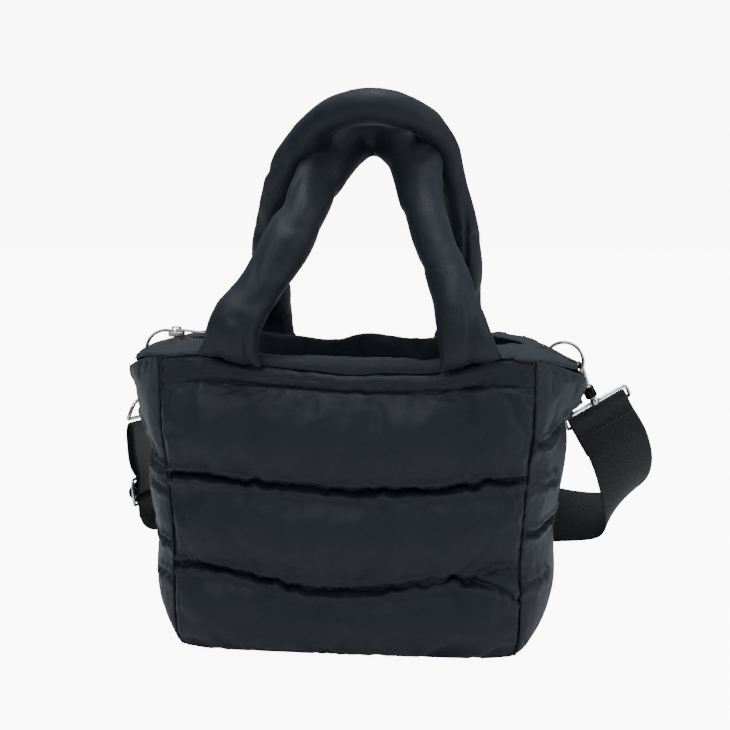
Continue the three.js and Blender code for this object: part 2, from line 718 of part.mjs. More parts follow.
// Outer face of a gusset at a given depth and height, and its outward direction
function gussetFace(name, y, z) {
  const lining = gussetLining(name);
  const channels = gusset_channels[name];
  const side = name === 'right' ? 1 : -1;
  const u = clamp01((side * y / half_depth + 1) / 2);
  const v = clamp01((z - base_clearance) / (seamLevel(lining(u, 1).x) - base_clearance));
  const small = 0.01;
  const du = lining(u + small, v).sub(lining(u - small, v));
  const dv = lining(u, v + small).sub(lining(u, v - small));
  const normal = du.cross(dv).normalize();
  const thickness = seam_wall + gusset_puff * puffShape(channels, u, v, 0.28);
  return { point: lining(u, v).addScaledVector(normal, thickness), normal };
}

// Cloth tab: a band doubled round the ring's inner side, its ends on the gusset
function ringTab(name) {
  const { at } = ring(name);
  const sag = ring_radius - Math.sqrt(ring_radius ** 2 - (tab_width / 2) ** 2);
  const grip = at(Math.PI, ring_radius - sag / 2);
  const { point, normal } = gussetFace(name, grip.y - 3, grip.z);
  const out = normal.setZ(0).normalize();
  const foot = point.addScaledVector(out, gap + tab_thickness / 2);
  foot.z = grip.z;
  const away = grip.clone().sub(foot).setZ(0);
  const reach = away.length();
  away.normalize();
  const aside = vec(-away.y, away.x, 0);
  const hold = ring_wire + gap + (tab_thickness + sag) / 2;
  const line = [];
  const push = (along, off) => line.push({
    centre: foot.clone().addScaledVector(away, along).addScaledVector(aside, off),
    side: vec(0, 0, 1),
  });
  push(0.9, -hold * 0.6);
  push(reach * 0.6, -hold * 0.85);
  for (let turn = -90; turn <= 90; turn += 30) {
    push(reach + hold * Math.cos(degrees(turn)), hold * Math.sin(degrees(turn)));
  }
  push(reach * 0.6, hold * 0.85);
  push(0.9, hold * 0.6);
  return ribbon(withFaces(line), tab_width, tab_thickness);
}

const strap_hold = loop_wire + strap_clearance + strap_thickness / 2;

// Frame of the webbing under a loop: origin at the loop's lower bar, down along the hanging webbing
function hangFrame(name) {
  const clip = clipFrame(name);
  const down = vec(...clip.row.hang).normalize();
  const bar = clip.bar.clone().addScaledVector(down, -clip.bar.dot(down)).normalize();
  const face = bar.clone().cross(down);
  const origin = clip.origin.clone().addScaledVector(clip.loop_up, -loop_height);
  return { down, bar, face, origin };
}

// Places in a hanging frame, each given as its distance off the face and down the webbing
function hangPlaces(frame, rows) {
  return rows.map(([off, below]) => ({
    centre: frame.origin.clone().addScaledVector(frame.down, below).addScaledVector(frame.face, off),
    side: frame.bar.clone(),
  }));
}

// Half turn of the webbing over a bar, from one face to the other
function overBar(from_side) {
  return [0, 36, 72, 108, 144, 180].map((turn) => [
    from_side * strap_hold * Math.cos(degrees(turn)), -strap_hold * Math.sin(degrees(turn)),
  ]);
}

// Width direction turned round, where needed, to agree with its neighbour
function agree(line) {
  for (let i = 1; i < line.length; i += 1) {
    if (line[i].side.dot(line[i - 1].side) < 0) {
      line[i].side.negate();
    }
  }
  return line;
}

// Stations on a smooth curve through places with known width directions
function through(places, steps) {
  const curve = new THREE.CatmullRomCurve3(places.map((place) => place.centre), false, 'centripetal');
  const line = [];
  for (let i = 0; i < (places.length - 1) * steps; i += 1) {
    const k = Math.floor(i / steps);
    const side = places[k].side.clone().lerp(places[k + 1].side, i / steps - k).normalize();
    line.push({ centre: curve.getPoint(i / steps / (places.length - 1)), side });
  }
  return [...line, places[places.length - 1]];
}

// The rows of the strap's way as places
const strapPlaces = () => strap_rows.map((row) => {
  const flat = Math.cos(degrees(row.rise));
  return {
    centre: vec(row.across * tip_reach, row.along * half_depth, row.up * body_height),
    side: vec(
      flat * Math.sin(degrees(row.swing)),
      flat * Math.cos(degrees(row.swing)),
      Math.sin(degrees(row.rise)),
    ),
  };
});

// The whole strap, from its sewn end on the right loop to its sewn end on the slide
function strapLine() {
  const right = hangFrame('right');
  const left = hangFrame('left');
  const right_top = hangPlaces(right, [[strap_hold, 26], [strap_hold, 12], [strap_hold, 3],
    ...overBar(1), [-strap_hold, 4]]);

  // Left: two plies between the loop and the slide, over the slide's bars, then round behind
  const pitch = slider_height / 2;
  const s = slider_drop + pitch;
  const behind = strap_hold + strap_thickness + strap_clearance;
  const under = s - pitch;
  const end_ply = [[strap_hold, s - 0.8], [strap_hold, s], [strap_hold * 0.72, s + strap_hold * 0.72],
    [0, s + strap_hold], [-strap_hold * 0.72, s + strap_hold * 0.72], [-strap_hold, s],
    [-behind + 0.4, under + 3.4], [-behind, under], [-behind, under - 5],
    [-strap_hold, s * 0.45], [-strap_hold, 3]];
  const main_ply = [[strap_hold, 3], [strap_hold, s * 0.5], [0.6, under - 7],
    [-strap_hold * 0.8, under - 2.4], [-strap_hold, under], [-strap_hold * 0.7, under + 2.2],
    [behind * 0.55, s - 4.2], [behind * 0.92, s - 2.2], [behind, s], [behind * 0.92, s + 2.2],
    [behind * 0.4, s + 5], [-strap_hold * 0.7, s + pitch - 2.2],
    [-strap_hold, s + pitch], [-strap_hold, s + pitch + 5], [-strap_hold, s + pitch + 8]];
  const left_plies = hangPlaces(left, [...end_ply, ...overBar(-1), ...main_ply]).reverse();

  const ends = [right_top.pop(), left_plies.shift()];
  const middle = through(agree([ends[0], ...strapPlaces(), ends[1]]), 3);
  return agree([...right_top, ...middle, ...left_plies]);
}

// Slide: an oblong wire frame with a middle bar
function strapSlider() {
  const frame = hangFrame('left');
  const half = strap_width / 2 + 1.2 + loop_wire;
  const rise = slider_height / 2;
  const corner = 2.5;
  const points = [];
  for (const [sx, sz, start] of [[1, 1, 0], [-1, 1, 90], [-1, -1, 180], [1, -1, 270]]) {
    for (const turn of [0, 45, 90]) {
      const angle = degrees(start + turn);
      const across = sx * (half - corner) + corner * Math.cos(angle);
      points.push(vec(across, 0, sz * (rise - corner) + corner * Math.sin(angle)));
    }
  }
  const bar = wire([vec(-half, 0, 0), vec(half, 0, 0)], loop_wire, 6, false);
  const slide = fuse(wire(points, loop_wire, 6, true), bar);
  const matrix = new THREE.Matrix4().makeBasis(frame.bar, frame.face, frame.down.clone().negate());
  matrix.setPosition(frame.origin.clone().addScaledVector(frame.down, slider_drop + rise));
  slide.applyMatrix4(matrix);
  return slide;
}

// One side of the opened zip: closed on the left shoulder, then down along the facing
function zipChain(side) {
  const crest_column = side < 0 ? 'crest' : 'back';
  const stations = [];
  for (const across of bandPlaces().filter((place) => place > -0.96 && place < 0.70)) {
    const x = across * tip_reach;
    const { crest_y, crest_z, open } = crestAt(x, crest_column);
    const slope = (crestAt(x + 1, crest_column).crest_y - crestAt(x - 1, crest_column).crest_y) / 2;
    const drop = lerp(facing_ridge_drop, facing_drop, open);
    const top = crest_z - lerp(1.4, drop - zip_width - 1, Math.min(1, open * 3));
    const off = (gap + zip_thickness / 2 + 0.9 * open) * Math.hypot(1, slope);
    stations.push({ centre: vec(x, side * (crest_y - off), top - zip_width / 2), side: vec(0, 0, 1) });
  }
  return ribbon(withFaces(stations), zip_width, zip_thickness);
}

const slider_x = slider_share * tip_reach;

// Pull tab: a plate whose slotted end goes through the bail, drawn lying along +X from its pivot
function zipPull() {
  const bar = 1.2;
  const slot = pull_thickness + 0.8 + 0.8;
  const plate_start = slider_length * 0.31 + 1;
  const plate = new THREE.BoxGeometry(pull_length - plate_start, pull_width, pull_thickness);
  plate.translate((pull_length + plate_start) / 2, 0, 0);
  const arms = [-1, 1].map((side) => {
    const arm = new THREE.BoxGeometry(plate_start + 0.5 + bar / 2, (pull_width - slot) / 2, bar);
    arm.translate((plate_start + 0.5 - bar / 2) / 2, (side * (pull_width + slot)) / 4, 0);
    return arm;
  });
  const pin = new THREE.BoxGeometry(bar, pull_width, bar);
  const pull = fuse(plate, ...arms, pin);
  pull.rotateY(degrees(pull_droop));
  const pivot = zipPivot();
  pull.translate(pivot.x, pivot.y, pivot.z);
  return pull;
}

const zipPivot = () => vec(
  slider_x,
  0,
  crestAt(slider_x, 'crest').crest_z + gap + slider_body + (bail_height - 1.2) / 2 + 0.15,
);

// Zip slider on the left shoulder's ridge, with the bail that carries the pull
function zipSlider() {
  const top = crestAt(slider_x, 'crest').crest_z + gap;
  const body = new THREE.BoxGeometry(slider_length, slider_width, slider_body);
  body.translate(slider_x, 0, top + slider_body / 2);
  const bail = new THREE.BoxGeometry(slider_length * 0.62, pull_thickness + 0.8, bail_height + 0.4);
  bail.translate(slider_x, 0, top + slider_body + (bail_height - 0.4) / 2);
  const hole = new THREE.BoxGeometry(slider_length * 0.62 - 2.4, slider_width, bail_height - 1.2);
  hole.translate(slider_x, 0, top + slider_body + (bail_height - 1.2) / 2 + 0.05);
  return cut(fuse(body, bail), hole);
}

const root = new THREE.Group();

function add(name, geometry, colour, roughness, metalness) {
  const material = new THREE.MeshStandardMaterial({ color: colour, roughness, metalness });
  const mesh = new THREE.Mesh(geometry, material);
  mesh.name = name;
  root.add(mesh);
  return mesh;
}

const nylon = [0x26262a, 0.55, 0];
const webbing = [0x1d1e22, 0.7, 0];
const nickel = [0xb9bbc0, 0.25, 1];

add('front_panel', panel(-1), ...nylon);
add('back_panel', panel(1), ...nylon);
add('left_gusset', gusset('left'), ...nylon);
add('right_gusset', gusset('right'), ...nylon);
add('base_panel', basePanel(), ...nylon);
add('front_top_band', topBand(-1), ...nylon);
add('back_top_band', topBand(1), ...nylon);
add('front_handle', handle(front_handle_rows, -1), ...nylon);
add('back_handle', handle(back_handle_rows, 1), ...nylon);
for (const name of ['left', 'right']) {
  add(`ring_${name}`, ringWire(name), ...nickel);
  add(`ring_tab_${name}`, ringTab(name), ...nylon);
  add(`strap_loop_${name}`, strapLoop(name), ...nickel);
  add(`hook_${name}`, hookBody().applyMatrix4(hookMatrix(name)), ...nickel);
  add(`hook_gate_${name}`, hookGate().applyMatrix4(hookMatrix(name)), ...nickel);
}

add('strap', ribbon(withFaces(strapLine()), strap_width, strap_thickness), ...webbing);
add('strap_slider', strapSlider(), ...nickel);
add('zip_chain_front', zipChain(-1), ...nickel);
add('zip_chain_back', zipChain(1), ...nickel);
add('zip_slider', zipSlider(), ...nickel);
add('zip_pull', zipPull(), ...nickel);

export default root;
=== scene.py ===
"""A black puffer tote bag: quilted walls, an open mouth, two stuffed handles and a webbing strap.

Metres, +Z up, the bag stands on the floor and its front faces -Y.
"""

import itertools
import math

import bmesh
import bpy
import numpy as np
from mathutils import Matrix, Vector
from mathutils.kdtree import KDTree


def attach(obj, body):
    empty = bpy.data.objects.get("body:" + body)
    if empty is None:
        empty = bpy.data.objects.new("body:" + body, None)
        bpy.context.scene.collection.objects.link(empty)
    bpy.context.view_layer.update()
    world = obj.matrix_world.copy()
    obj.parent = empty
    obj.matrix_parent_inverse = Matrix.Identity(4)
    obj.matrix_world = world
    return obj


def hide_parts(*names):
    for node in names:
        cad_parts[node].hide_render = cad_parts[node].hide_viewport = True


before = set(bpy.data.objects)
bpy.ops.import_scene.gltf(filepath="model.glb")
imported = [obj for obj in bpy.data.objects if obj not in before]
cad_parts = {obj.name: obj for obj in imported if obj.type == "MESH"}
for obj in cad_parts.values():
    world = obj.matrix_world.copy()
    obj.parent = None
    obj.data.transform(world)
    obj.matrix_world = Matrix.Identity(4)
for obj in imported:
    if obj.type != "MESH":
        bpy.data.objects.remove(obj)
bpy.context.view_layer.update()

# ---------------------------------------------------------------- Camera, floor and light
# A photo of the bag on a white table, taken from a little above and a little to its right,
# in soft light from a large window in front and above.
CAMERA_TURN = math.radians(5)
CAMERA_RISE = math.radians(9)
CAMERA_DISTANCE = 0.75
CAMERA_TARGET = Vector((0.008, 0.0, 0.193))
SENSOR_WIDTH = 36.0
LENS = 51.4

camera_data = bpy.data.cameras.new("camera")
camera_data.lens = LENS
camera_data.sensor_width = SENSOR_WIDTH
camera = bpy.data.objects.new("camera", camera_data)
bpy.context.scene.collection.objects.link(camera)
camera_away = Vector((
    math.sin(CAMERA_TURN) * math.cos(CAMERA_RISE),
    -math.cos(CAMERA_TURN) * math.cos(CAMERA_RISE),
    math.sin(CAMERA_RISE),
))
camera.location = CAMERA_TARGET + camera_away * CAMERA_DISTANCE
camera.rotation_euler = (-camera_away).to_track_quat("-Z", "Y").to_euler()
bpy.context.scene.camera = camera

WHITE = (1, 1, 1, 1)
FLOOR_COLOUR = (0.92, 0.92, 0.92, 1)
FLOOR_ROUGHNESS = 0.7
FLOOR_SIZE = 12.0
FLOOR_SEEN = 9.0
FLOOR_DROP = 0.0008
bpy.ops.mesh.primitive_plane_add(size=FLOOR_SIZE, location=(0, 0, -FLOOR_DROP))
floor = bpy.context.object
floor.name = "floor"
floor_material = bpy.data.materials.new("pale_table")
floor_material.use_nodes = True
floor_nodes, floor_links = floor_material.node_tree.nodes, floor_material.node_tree.links
floor_shader = floor_nodes["Principled BSDF"]
floor_shader.inputs["Base Color"].default_value = FLOOR_COLOUR
floor_shader.inputs["Roughness"].default_value = FLOOR_ROUGHNESS
floor_shader.inputs["Emission Color"].default_value = WHITE
floor_path = floor_nodes.new("ShaderNodeLightPath")
floor_glow = floor_nodes.new("ShaderNodeMath")
floor_glow.operation = "MULTIPLY"
floor_glow.inputs[1].default_value = FLOOR_SEEN
floor_links.new(floor_path.outputs["Is Camera Ray"], floor_glow.inputs[0])
floor_links.new(floor_glow.outputs["Value"], floor_shader.inputs["Emission Strength"])
floor.data.materials.append(floor_material)

WORLD_LIGHT = 0.8
WORLD_SEEN = 9.0
# height, from 0 at the horizon to 1 straight up, and the room's colour there
WORLD_RAMP = [
    (0.08, (0.03, 0.035, 0.04, 1)),
    (0.55, (0.84, 0.92, 1.0, 1)),
]
world = bpy.data.worlds.new("soft_room")
world.use_nodes = True
world_nodes, world_links = world.node_tree.nodes, world.node_tree.links
world_place = world_nodes.new("ShaderNodeTexCoord")
world_part = world_nodes.new("ShaderNodeSeparateXYZ")
world_ramp = world_nodes.new("ShaderNodeValToRGB")
for stop, (height, colour) in zip(world_ramp.color_ramp.elements, WORLD_RAMP):
    stop.color = colour
    stop.position = height
world_glow = world_nodes["Background"]
world_glow.inputs["Strength"].default_value = WORLD_LIGHT
world_links.new(world_place.outputs["Generated"], world_part.inputs["Vector"])
world_links.new(world_part.outputs["Z"], world_ramp.inputs["Fac"])
world_links.new(world_ramp.outputs["Color"], world_glow.inputs["Color"])
# the camera sees plain white where the cloth is lit by the room
world_seen = world_nodes.new("ShaderNodeBackground")
world_seen.inputs["Color"].default_value = WHITE
world_seen.inputs["Strength"].default_value = WORLD_SEEN
world_mix = world_nodes.new("ShaderNodeMixShader")
world_path = world_nodes.new("ShaderNodeLightPath")
world_links.new(world_path.outputs["Is Camera Ray"], world_mix.inputs["Fac"])
world_links.new(world_glow.outputs["Background"], world_mix.inputs[1])
world_links.new(world_seen.outputs["Background"], world_mix.inputs[2])
world_links.new(world_mix.outputs["Shader"], world_nodes["World Output"].inputs["Surface"])
bpy.context.scene.world = world

# name, place, target, width, height, power
LIGHTS = [
    ("window", (-0.5, -1.5, 1.5), (0, 0, 0.15), 1.2, 0.9, 11),
    ("side_panel", (1.7, -0.5, 0.9), (0, 0, 0.15), 0.8, 1.0, 10),
    ("top_panel", (0.0, -0.1, 1.8), (0, 0, 0.2), 1.0, 0.8, 16),
]
for name, place, target, width, height, power in LIGHTS:
    lamp_data = bpy.data.lights.new(name, "AREA")
    lamp_data.shape = "RECTANGLE"
    lamp_data.size, lamp_data.size_y, lamp_data.energy = width, height, power
    lamp = bpy.data.objects.new(name, lamp_data)
    lamp.location = place
    lamp.rotation_euler = (Vector(target) - lamp.location).to_track_quat("-Z", "Y").to_euler()
    bpy.context.scene.collection.objects.link(lamp)

# ---------------------------------------------------------------- Base
# A flat rectangle of black nylon over a stiff board, with rounded edges. The four walls are
# sewn to its sides.
MM = 0.001
NYLON_COLOUR = (0.0052, 0.0077, 0.0134, 1)
NYLON_ROUGHNESS = 0.55
NYLON_SHEEN = 0.03
CLOTH_GLOSS = 0.3
SHEEN_ROUGHNESS = 0.45
SHEEN_COLOUR = (0.75, 0.85, 1.0, 1)
FLAT_ANGLE, FLAT_SHAPE = 0.7, 1.2


def noise_group(name, scale, detail, distortion):
    """A shader node group that puts out a height made of fine creases and threads."""
    group = bpy.data.node_groups.new(name, "ShaderNodeTree")
    group.interface.new_socket("Vector", in_out="INPUT", socket_type="NodeSocketVector")
    group.interface.new_socket("Height", in_out="OUTPUT", socket_type="NodeSocketFloat")
    nodes, links = group.nodes, group.links
    entry, leave = nodes.new("NodeGroupInput"), nodes.new("NodeGroupOutput")
    texture = nodes.new("ShaderNodeTexNoise")
    texture.inputs["Scale"].default_value = scale
    texture.inputs["Detail"].default_value = detail
    texture.inputs["Distortion"].default_value = distortion
    links.new(entry.outputs["Vector"], texture.inputs["Vector"])
    links.new(texture.outputs["Fac"], leave.inputs["Height"])
    return group


crumple = noise_group("crumple", scale=70, detail=4, distortion=0.6)
weave = noise_group("weave", scale=1900, detail=2, distortion=0.0)


def cloth_material(name, colour, roughness, crumple_depth, weave_depth, sheen):
    """Black cloth: a satin face with small crumples and the grain of its threads."""
    material = bpy.data.materials.new(name)
    material.use_nodes = True
    nodes, links = material.node_tree.nodes, material.node_tree.links
    shader = nodes["Principled BSDF"]
    shader.inputs["Base Color"].default_value = colour
    shader.inputs["Roughness"].default_value = roughness
    shader.inputs["Specular IOR Level"].default_value = CLOTH_GLOSS
    shader.inputs["Sheen Weight"].default_value = sheen
    shader.inputs["Sheen Roughness"].default_value = SHEEN_ROUGHNESS
    shader.inputs["Sheen Tint"].default_value = SHEEN_COLOUR
    place = nodes.new("ShaderNodeTexCoord")
    normal = None
    for group, distance in ((crumple, crumple_depth), (weave, weave_depth)):
        height = nodes.new("ShaderNodeGroup")
        height.node_tree = group
        links.new(place.outputs["Object"], height.inputs["Vector"])
        bump = nodes.new("ShaderNodeBump")
        bump.inputs["Strength"].default_value = 1.0
        bump.inputs["Distance"].default_value = distance
        links.new(height.outputs["Height"], bump.inputs["Height"])
        if normal is not None:
            links.new(normal, bump.inputs["Normal"])
        normal = bump.outputs["Normal"]
    links.new(normal, shader.inputs["Normal"])
    return material


nylon = cloth_material(
    "black_nylon", NYLON_COLOUR, NYLON_ROUGHNESS,
    crumple_depth=0.8 * MM, weave_depth=0.06 * MM, sheen=NYLON_SHEEN,
)


def placed(name, data):
    """A new object with this mesh or curve, standing at the origin."""
    obj = bpy.data.objects.new(name, data)
    bpy.context.scene.collection.objects.link(obj)
    return obj


def merged(node):
    """A CAD node's mesh with its loose triangles welded back together."""
    bm = bmesh.new()
    bm.from_mesh(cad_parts[node].data)
    bmesh.ops.remove_doubles(bm, verts=bm.verts, dist=1e-6)
    bmesh.ops.recalc_face_normals(bm, faces=bm.faces)
    return bm


def baked(obj):
    """The object as one plain mesh, with its modifiers used up."""
    bpy.context.view_layer.update()
    depsgraph = bpy.context.evaluated_depsgraph_get()
    mesh = bpy.data.meshes.new_from_object(obj.evaluated_get(depsgraph))
    obj.modifiers.clear()
    old, obj.data = obj.data, mesh
    bpy.data.meshes.remove(old)
    obj.data.name = obj.name
    return obj


def smoothed(obj, levels):
    """Subdivides the mesh smoothly and shades it smooth."""
    if levels:
        rounding = obj.modifiers.new("rounding", "SUBSURF")
        rounding.levels = rounding.render_levels = levels
        baked(obj)
    obj.data.shade_smooth()
    return obj


def soft_copy(node, name, levels, sharp=55, hardness=1.0):
    """A finely divided copy of a CAD solid, and places along its edges and quilting seams."""
    bm = merged(node)
    bmesh.ops.join_triangles(
        bm, faces=bm.faces, angle_face_threshold=FLAT_ANGLE, angle_shape_threshold=FLAT_SHAPE
    )
    crease = bm.edges.layers.float.new("crease_edge")
    seams = {"rim": [], "quilting": []}
    for edge in bm.edges:
        if len(edge.link_faces) == 2 and edge.calc_face_angle(0) > math.radians(sharp):
            edge[crease] = hardness
            a, b = (v.co for v in edge.verts)
            steps = max(1, int((b - a).length / MM))
            kind = "rim" if edge.calc_face_angle_signed(0) > 0 else "quilting"
            seams[kind] += [a.lerp(b, i / steps) for i in range(steps)]
    mesh = bpy.data.meshes.new(name)
    bm.to_mesh(mesh)
    bm.free()
    return smoothed(placed(name, mesh), levels), seams


def dressed(obj, node, material, body="bag"):
    """Gives a finished piece its material and body, and hides the CAD node it replaces."""
    obj.data.materials.clear()
    obj.data.materials.append(material)
    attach(obj, body)
    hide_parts(node)


base, _ = soft_copy("base_panel", "base", 2)
dressed(base, "base_panel", nylon)

# ---------------------------------------------------------------- Front and back walls
# Each wall is black nylon over wadding, quilted by two cross seams under a narrow hem, so
# that three long puffs stand between the seams. The seams gather the cloth into small puckers.
PUFF_FRAMES = 20
PUFF_PRESSURE = 4.0
PUFF_LIMIT = 3.5 * MM
PUFF_GROWTH = 0.05
PIN_REACH = 4 * MM
NOISE_CELLS = 32
NOISE_START = 64.5
SLANT = 0.30
SLANT_PATCH = 21 * MM
FOLD_EDGE, FOLD_RANGE = 0.56, 0.3


def points_of(obj):
    """Places and outward directions of the mesh's points."""
    count = len(obj.data.vertices)
    co, no = np.zeros(count * 3, np.float32), np.zeros(count * 3, np.float32)
    obj.data.vertices.foreach_get("co", co)
    obj.data.vertices.foreach_get("normal", no)
    return co.reshape(-1, 3).astype(float), no.reshape(-1, 3).astype(float)


def set_points(obj, co):
    """Moves the mesh's points."""
    obj.data.vertices.foreach_set("co", co.astype(np.float32).ravel())
    obj.data.update()


def soft_noise(p, size, seed):
    """Smooth noise from 0 to 1 at places p, with lumps of the given size."""
    table = np.random.default_rng(seed).random((NOISE_CELLS,) * 3)
    q = p / np.asarray(size, float) + NOISE_START
    cell = np.floor(q).astype(int)
    f = q - cell
    f = f * f * (3 - 2 * f)
    total = np.zeros(len(p))
    for corner in range(8):
        step = np.array([corner & 1, corner >> 1 & 1, corner >> 2 & 1])
        index = (cell + step) % NOISE_CELLS
        weight = np.prod(np.where(step, f, 1 - f), axis=1)
        total += weight * table[index[:, 0], index[:, 1], index[:, 2]]
    return total


def nearest(p, places, seen_along=None):
    """For each place p, the nearest of the seam places and how far it is, seen along an axis."""
    if seen_along is not None:
        keep = np.ones(3)
        keep[seen_along] = 0
        p, places = p * keep, np.array(places, float) * keep
    tree = KDTree(len(places))
    for i, place in enumerate(places):
        tree.insert(place, i)
    tree.balance()
    found = [tree.find(q) for q in p]
    return np.array([f[0] for f in found], float), np.array([f[2] for f in found], float)


def gather(obj, seams, depth, reach, pitch, seed, way=None, seen_along=None):
    """Small puckers that run square to the seams and fade out away from them."""
    co, no = points_of(obj)
    if way is not None:
        no = np.clip(no @ np.array(way, float), 0, 1)[:, None] * np.array(way, float)
    seam, away = nearest(co, seams, seen_along)
    lean = soft_noise(seam, SLANT_PATCH, seed + 7)[:, None] * 2 - 1
    slanted = seam + SLANT * (co - seam) * lean
    wave = soft_noise(slanted, pitch, seed) * 0.6 + soft_noise(slanted, pitch * 0.5, seed + 1) * 0.4
    length = reach * (0.35 + 1.3 * soft_noise(seam, pitch * 2.2, seed + 2))
    fold = np.clip((FOLD_EDGE - wave) / FOLD_RANGE, 0, 1) ** 0.8
    set_points(obj, co - no * (depth * fold * np.exp(-away / length))[:, None])


def quilt(obj, seams, way, depth, width, jag, pitch, seed, seen_along=None, lip=0.0):
    """Sinks the quilting seams into a narrow, jagged groove with soft lips beside it."""
    co, no = points_of(obj)
    seam, away = nearest(co, seams, seen_along)
    outer = no @ np.array(way, float) > 0.05
    shake = soft_noise(seam, pitch, seed) + 0.5 * soft_noise(seam, pitch * 0.45, seed + 1) - 0.75
    co[:, 2] += np.where(outer, jag * shake * np.exp(-away / (2.2 * width)), 0)
    sink = depth * np.exp(-((away / width) ** 2)) * (0.75 + 0.5 * soft_noise(seam, pitch, seed + 2))
    lips = lip * np.exp(-(((away - 2.2 * width) / (1.3 * width)) ** 2))
    sink -= lips * (0.4 + 1.2 * soft_noise(seam, pitch * 1.6, seed + 3))
    co -= np.where(outer, sink, 0)[:, None] * np.array(way, float)
    set_points(obj, co)


def overlap(obj, way, amount, least=0.6, where=None):
    """Pushes the faces that look a given way a little under the next piece, to close the seam."""
    co, no = points_of(obj)
    facing = no @ np.array(way, float) > least
    if where is not None:
        facing &= where(co)
    set_points(obj, co + np.where(facing, amount, 0)[:, None] * np.array(way, float))


def creases(obj, size, depth, width, seed, patch=0.06):
    """Long soft folds: thin valleys where smooth noise passes its middle."""
    co, no = points_of(obj)
    wave = soft_noise(co, size, seed)
    valley = np.exp(-(((wave - 0.5) / width) ** 2))
    where = np.clip(soft_noise(co, patch, seed + 3) * 2.4 - 0.8, 0, 1)
    set_points(obj, co - no * (depth * valley * where)[:, None])


def swell(obj, size, height, seed):
    """Uneven wadding: slow lumps and hollows."""
    co, no = points_of(obj)
    fine_wave = soft_noise(co, np.asarray(size) * 0.5, seed + 1)
    wave = soft_noise(co, size, seed) + 0.5 * fine_wave - 0.75
    set_points(obj, co + no * (height * wave)[:, None])


def puff_out(obj, seams, hold, growth=PUFF_GROWTH):
    """Blows the cloth out between its seams, which stay where they are."""
    co, no = points_of(obj)
    _, away = nearest(co, seams)
    pins = obj.vertex_groups.new(name="pins")
    outer = hold(co, no)
    grip = np.where(outer, np.clip(1 - away / PIN_REACH, 0, 1), 1.0)
    for i, weight in enumerate(grip):
        if weight > 0:
            pins.add([i], float(weight), "REPLACE")
    cloth = obj.modifiers.new("puff", "CLOTH")
    settings = cloth.settings
    settings.quality = 5
    settings.mass = 0.15
    settings.tension_stiffness = settings.compression_stiffness = 12
    settings.shear_stiffness = 6
    settings.bending_stiffness = 0.2
    settings.air_damping = 2
    settings.use_pressure = True
    settings.uniform_pressure_force = PUFF_PRESSURE
    settings.effector_weights.gravity = 0
    settings.vertex_group_mass = "pins"
    settings.shrink_min = -growth
    cloth.collision_settings.use_collision = False
    cloth.collision_settings.use_self_collision = False
    cloth.point_cache.frame_start = 1
    cloth.point_cache.frame_end = PUFF_FRAMES
    scene = bpy.context.scene
    for moment in range(1, PUFF_FRAMES + 1):
        scene.frame_set(moment)
    baked(obj)
    scene.frame_set(1)
    obj.vertex_groups.clear()
    moved, _ = points_of(obj)
    shift = moved - co
    size = np.linalg.norm(shift, axis=1)
    limit = PUFF_LIMIT * np.tanh(size / PUFF_LIMIT) / np.maximum(size, 1e-9)
    set_points(obj, co + shift * limit[:, None])


HEM_LEVEL = 0.175
TOP_SEAM_LEVEL = 0.193
LIP = 2.4 * MM
WALL_SHARP = 38
OUTER_FACE = 0.1
TUCKED = 1.0 * MM
SEAM_REACH = 0.121
WALL_SPLITS = ((0.0, 0.095), (0.095, HEM_LEVEL), (HEM_LEVEL, 0.3))


def across_wall(places):
    """The wall's two cross seams and its hem seam, drawn out to its side seams."""
    places = np.array(places, float)
    lines = []
    for low, high in WALL_SPLITS:
        part = places[(places[:, 2] > low) & (places[:, 2] < high)]
        bend = np.polyfit(part[:, 0], part[:, 2], 4)
        line = []
        for x in np.arange(-SEAM_REACH, SEAM_REACH, MM):
            inside = np.clip(x, part[:, 0].min(), part[:, 0].max())
            line.append((x, 0.0, float(np.polyval(bend, inside))))
        lines.append(line)
    return lines


for side, node, seed in ((-1, "front_panel", 10), (1, "back_panel", 20)):
    wall, seams = soft_copy(node, node.replace("panel", "wall"), 2, sharp=WALL_SHARP)
    outward = (0, side, 0)
    puff_out(
        wall, seams["rim"] + seams["quilting"],
        lambda co, no, side=side: no[:, 1] * side > OUTER_FACE,
    )
    smoothed(wall, 1)
    lower, upper, hem = across_wall(seams["quilting"])
    cross = lower + upper
    gather(
        wall, cross, depth=1.6 * MM, reach=8 * MM, pitch=7 * MM,
        seed=seed, way=outward, seen_along=1,
    )
    gather(
        wall, hem, depth=0.6 * MM, reach=3 * MM, pitch=2.6 * MM,
        seed=seed + 1, way=outward, seen_along=1,
    )
    gather(
        wall, seams["rim"], depth=0.7 * MM, reach=4 * MM, pitch=3 * MM,
        seed=seed + 2, way=outward,
    )
    quilt(
        wall, cross, outward, depth=2.3 * MM, width=2.0 * MM, jag=7.0 * MM, pitch=7 * MM,
        seed=seed + 6, seen_along=1, lip=LIP,
    )
    quilt(
        wall, hem, outward, depth=0.9 * MM, width=1.1 * MM, jag=0.8 * MM, pitch=2.6 * MM,
        seed=seed + 7, seen_along=1,
    )
    quilt(
        wall, seams["rim"], outward, depth=1.1 * MM, width=1.3 * MM, jag=0.0, pitch=5 * MM,
        seed=seed + 8,
    )
    top_seam = [place for place in seams["rim"] if place.z > TOP_SEAM_LEVEL]
    quilt(
        wall, top_seam, outward, depth=1.6 * MM, width=1.6 * MM, jag=0.0, pitch=5 * MM,
        seed=seed + 9,
    )
    swell(wall, size=(0.06, 0.06, 0.035), height=1.6 * MM, seed=seed + 4)
    creases(wall, size=(0.07, 0.05, 0.025), depth=0.5 * MM, width=0.035, seed=seed + 5)
    for way in (1, -1):
        overlap(wall, (way, 0, 0), TUCKED, least=0.5)
    overlap(wall, (0, 0, 1), 0.4 * MM)
    dressed(wall, node, nylon)

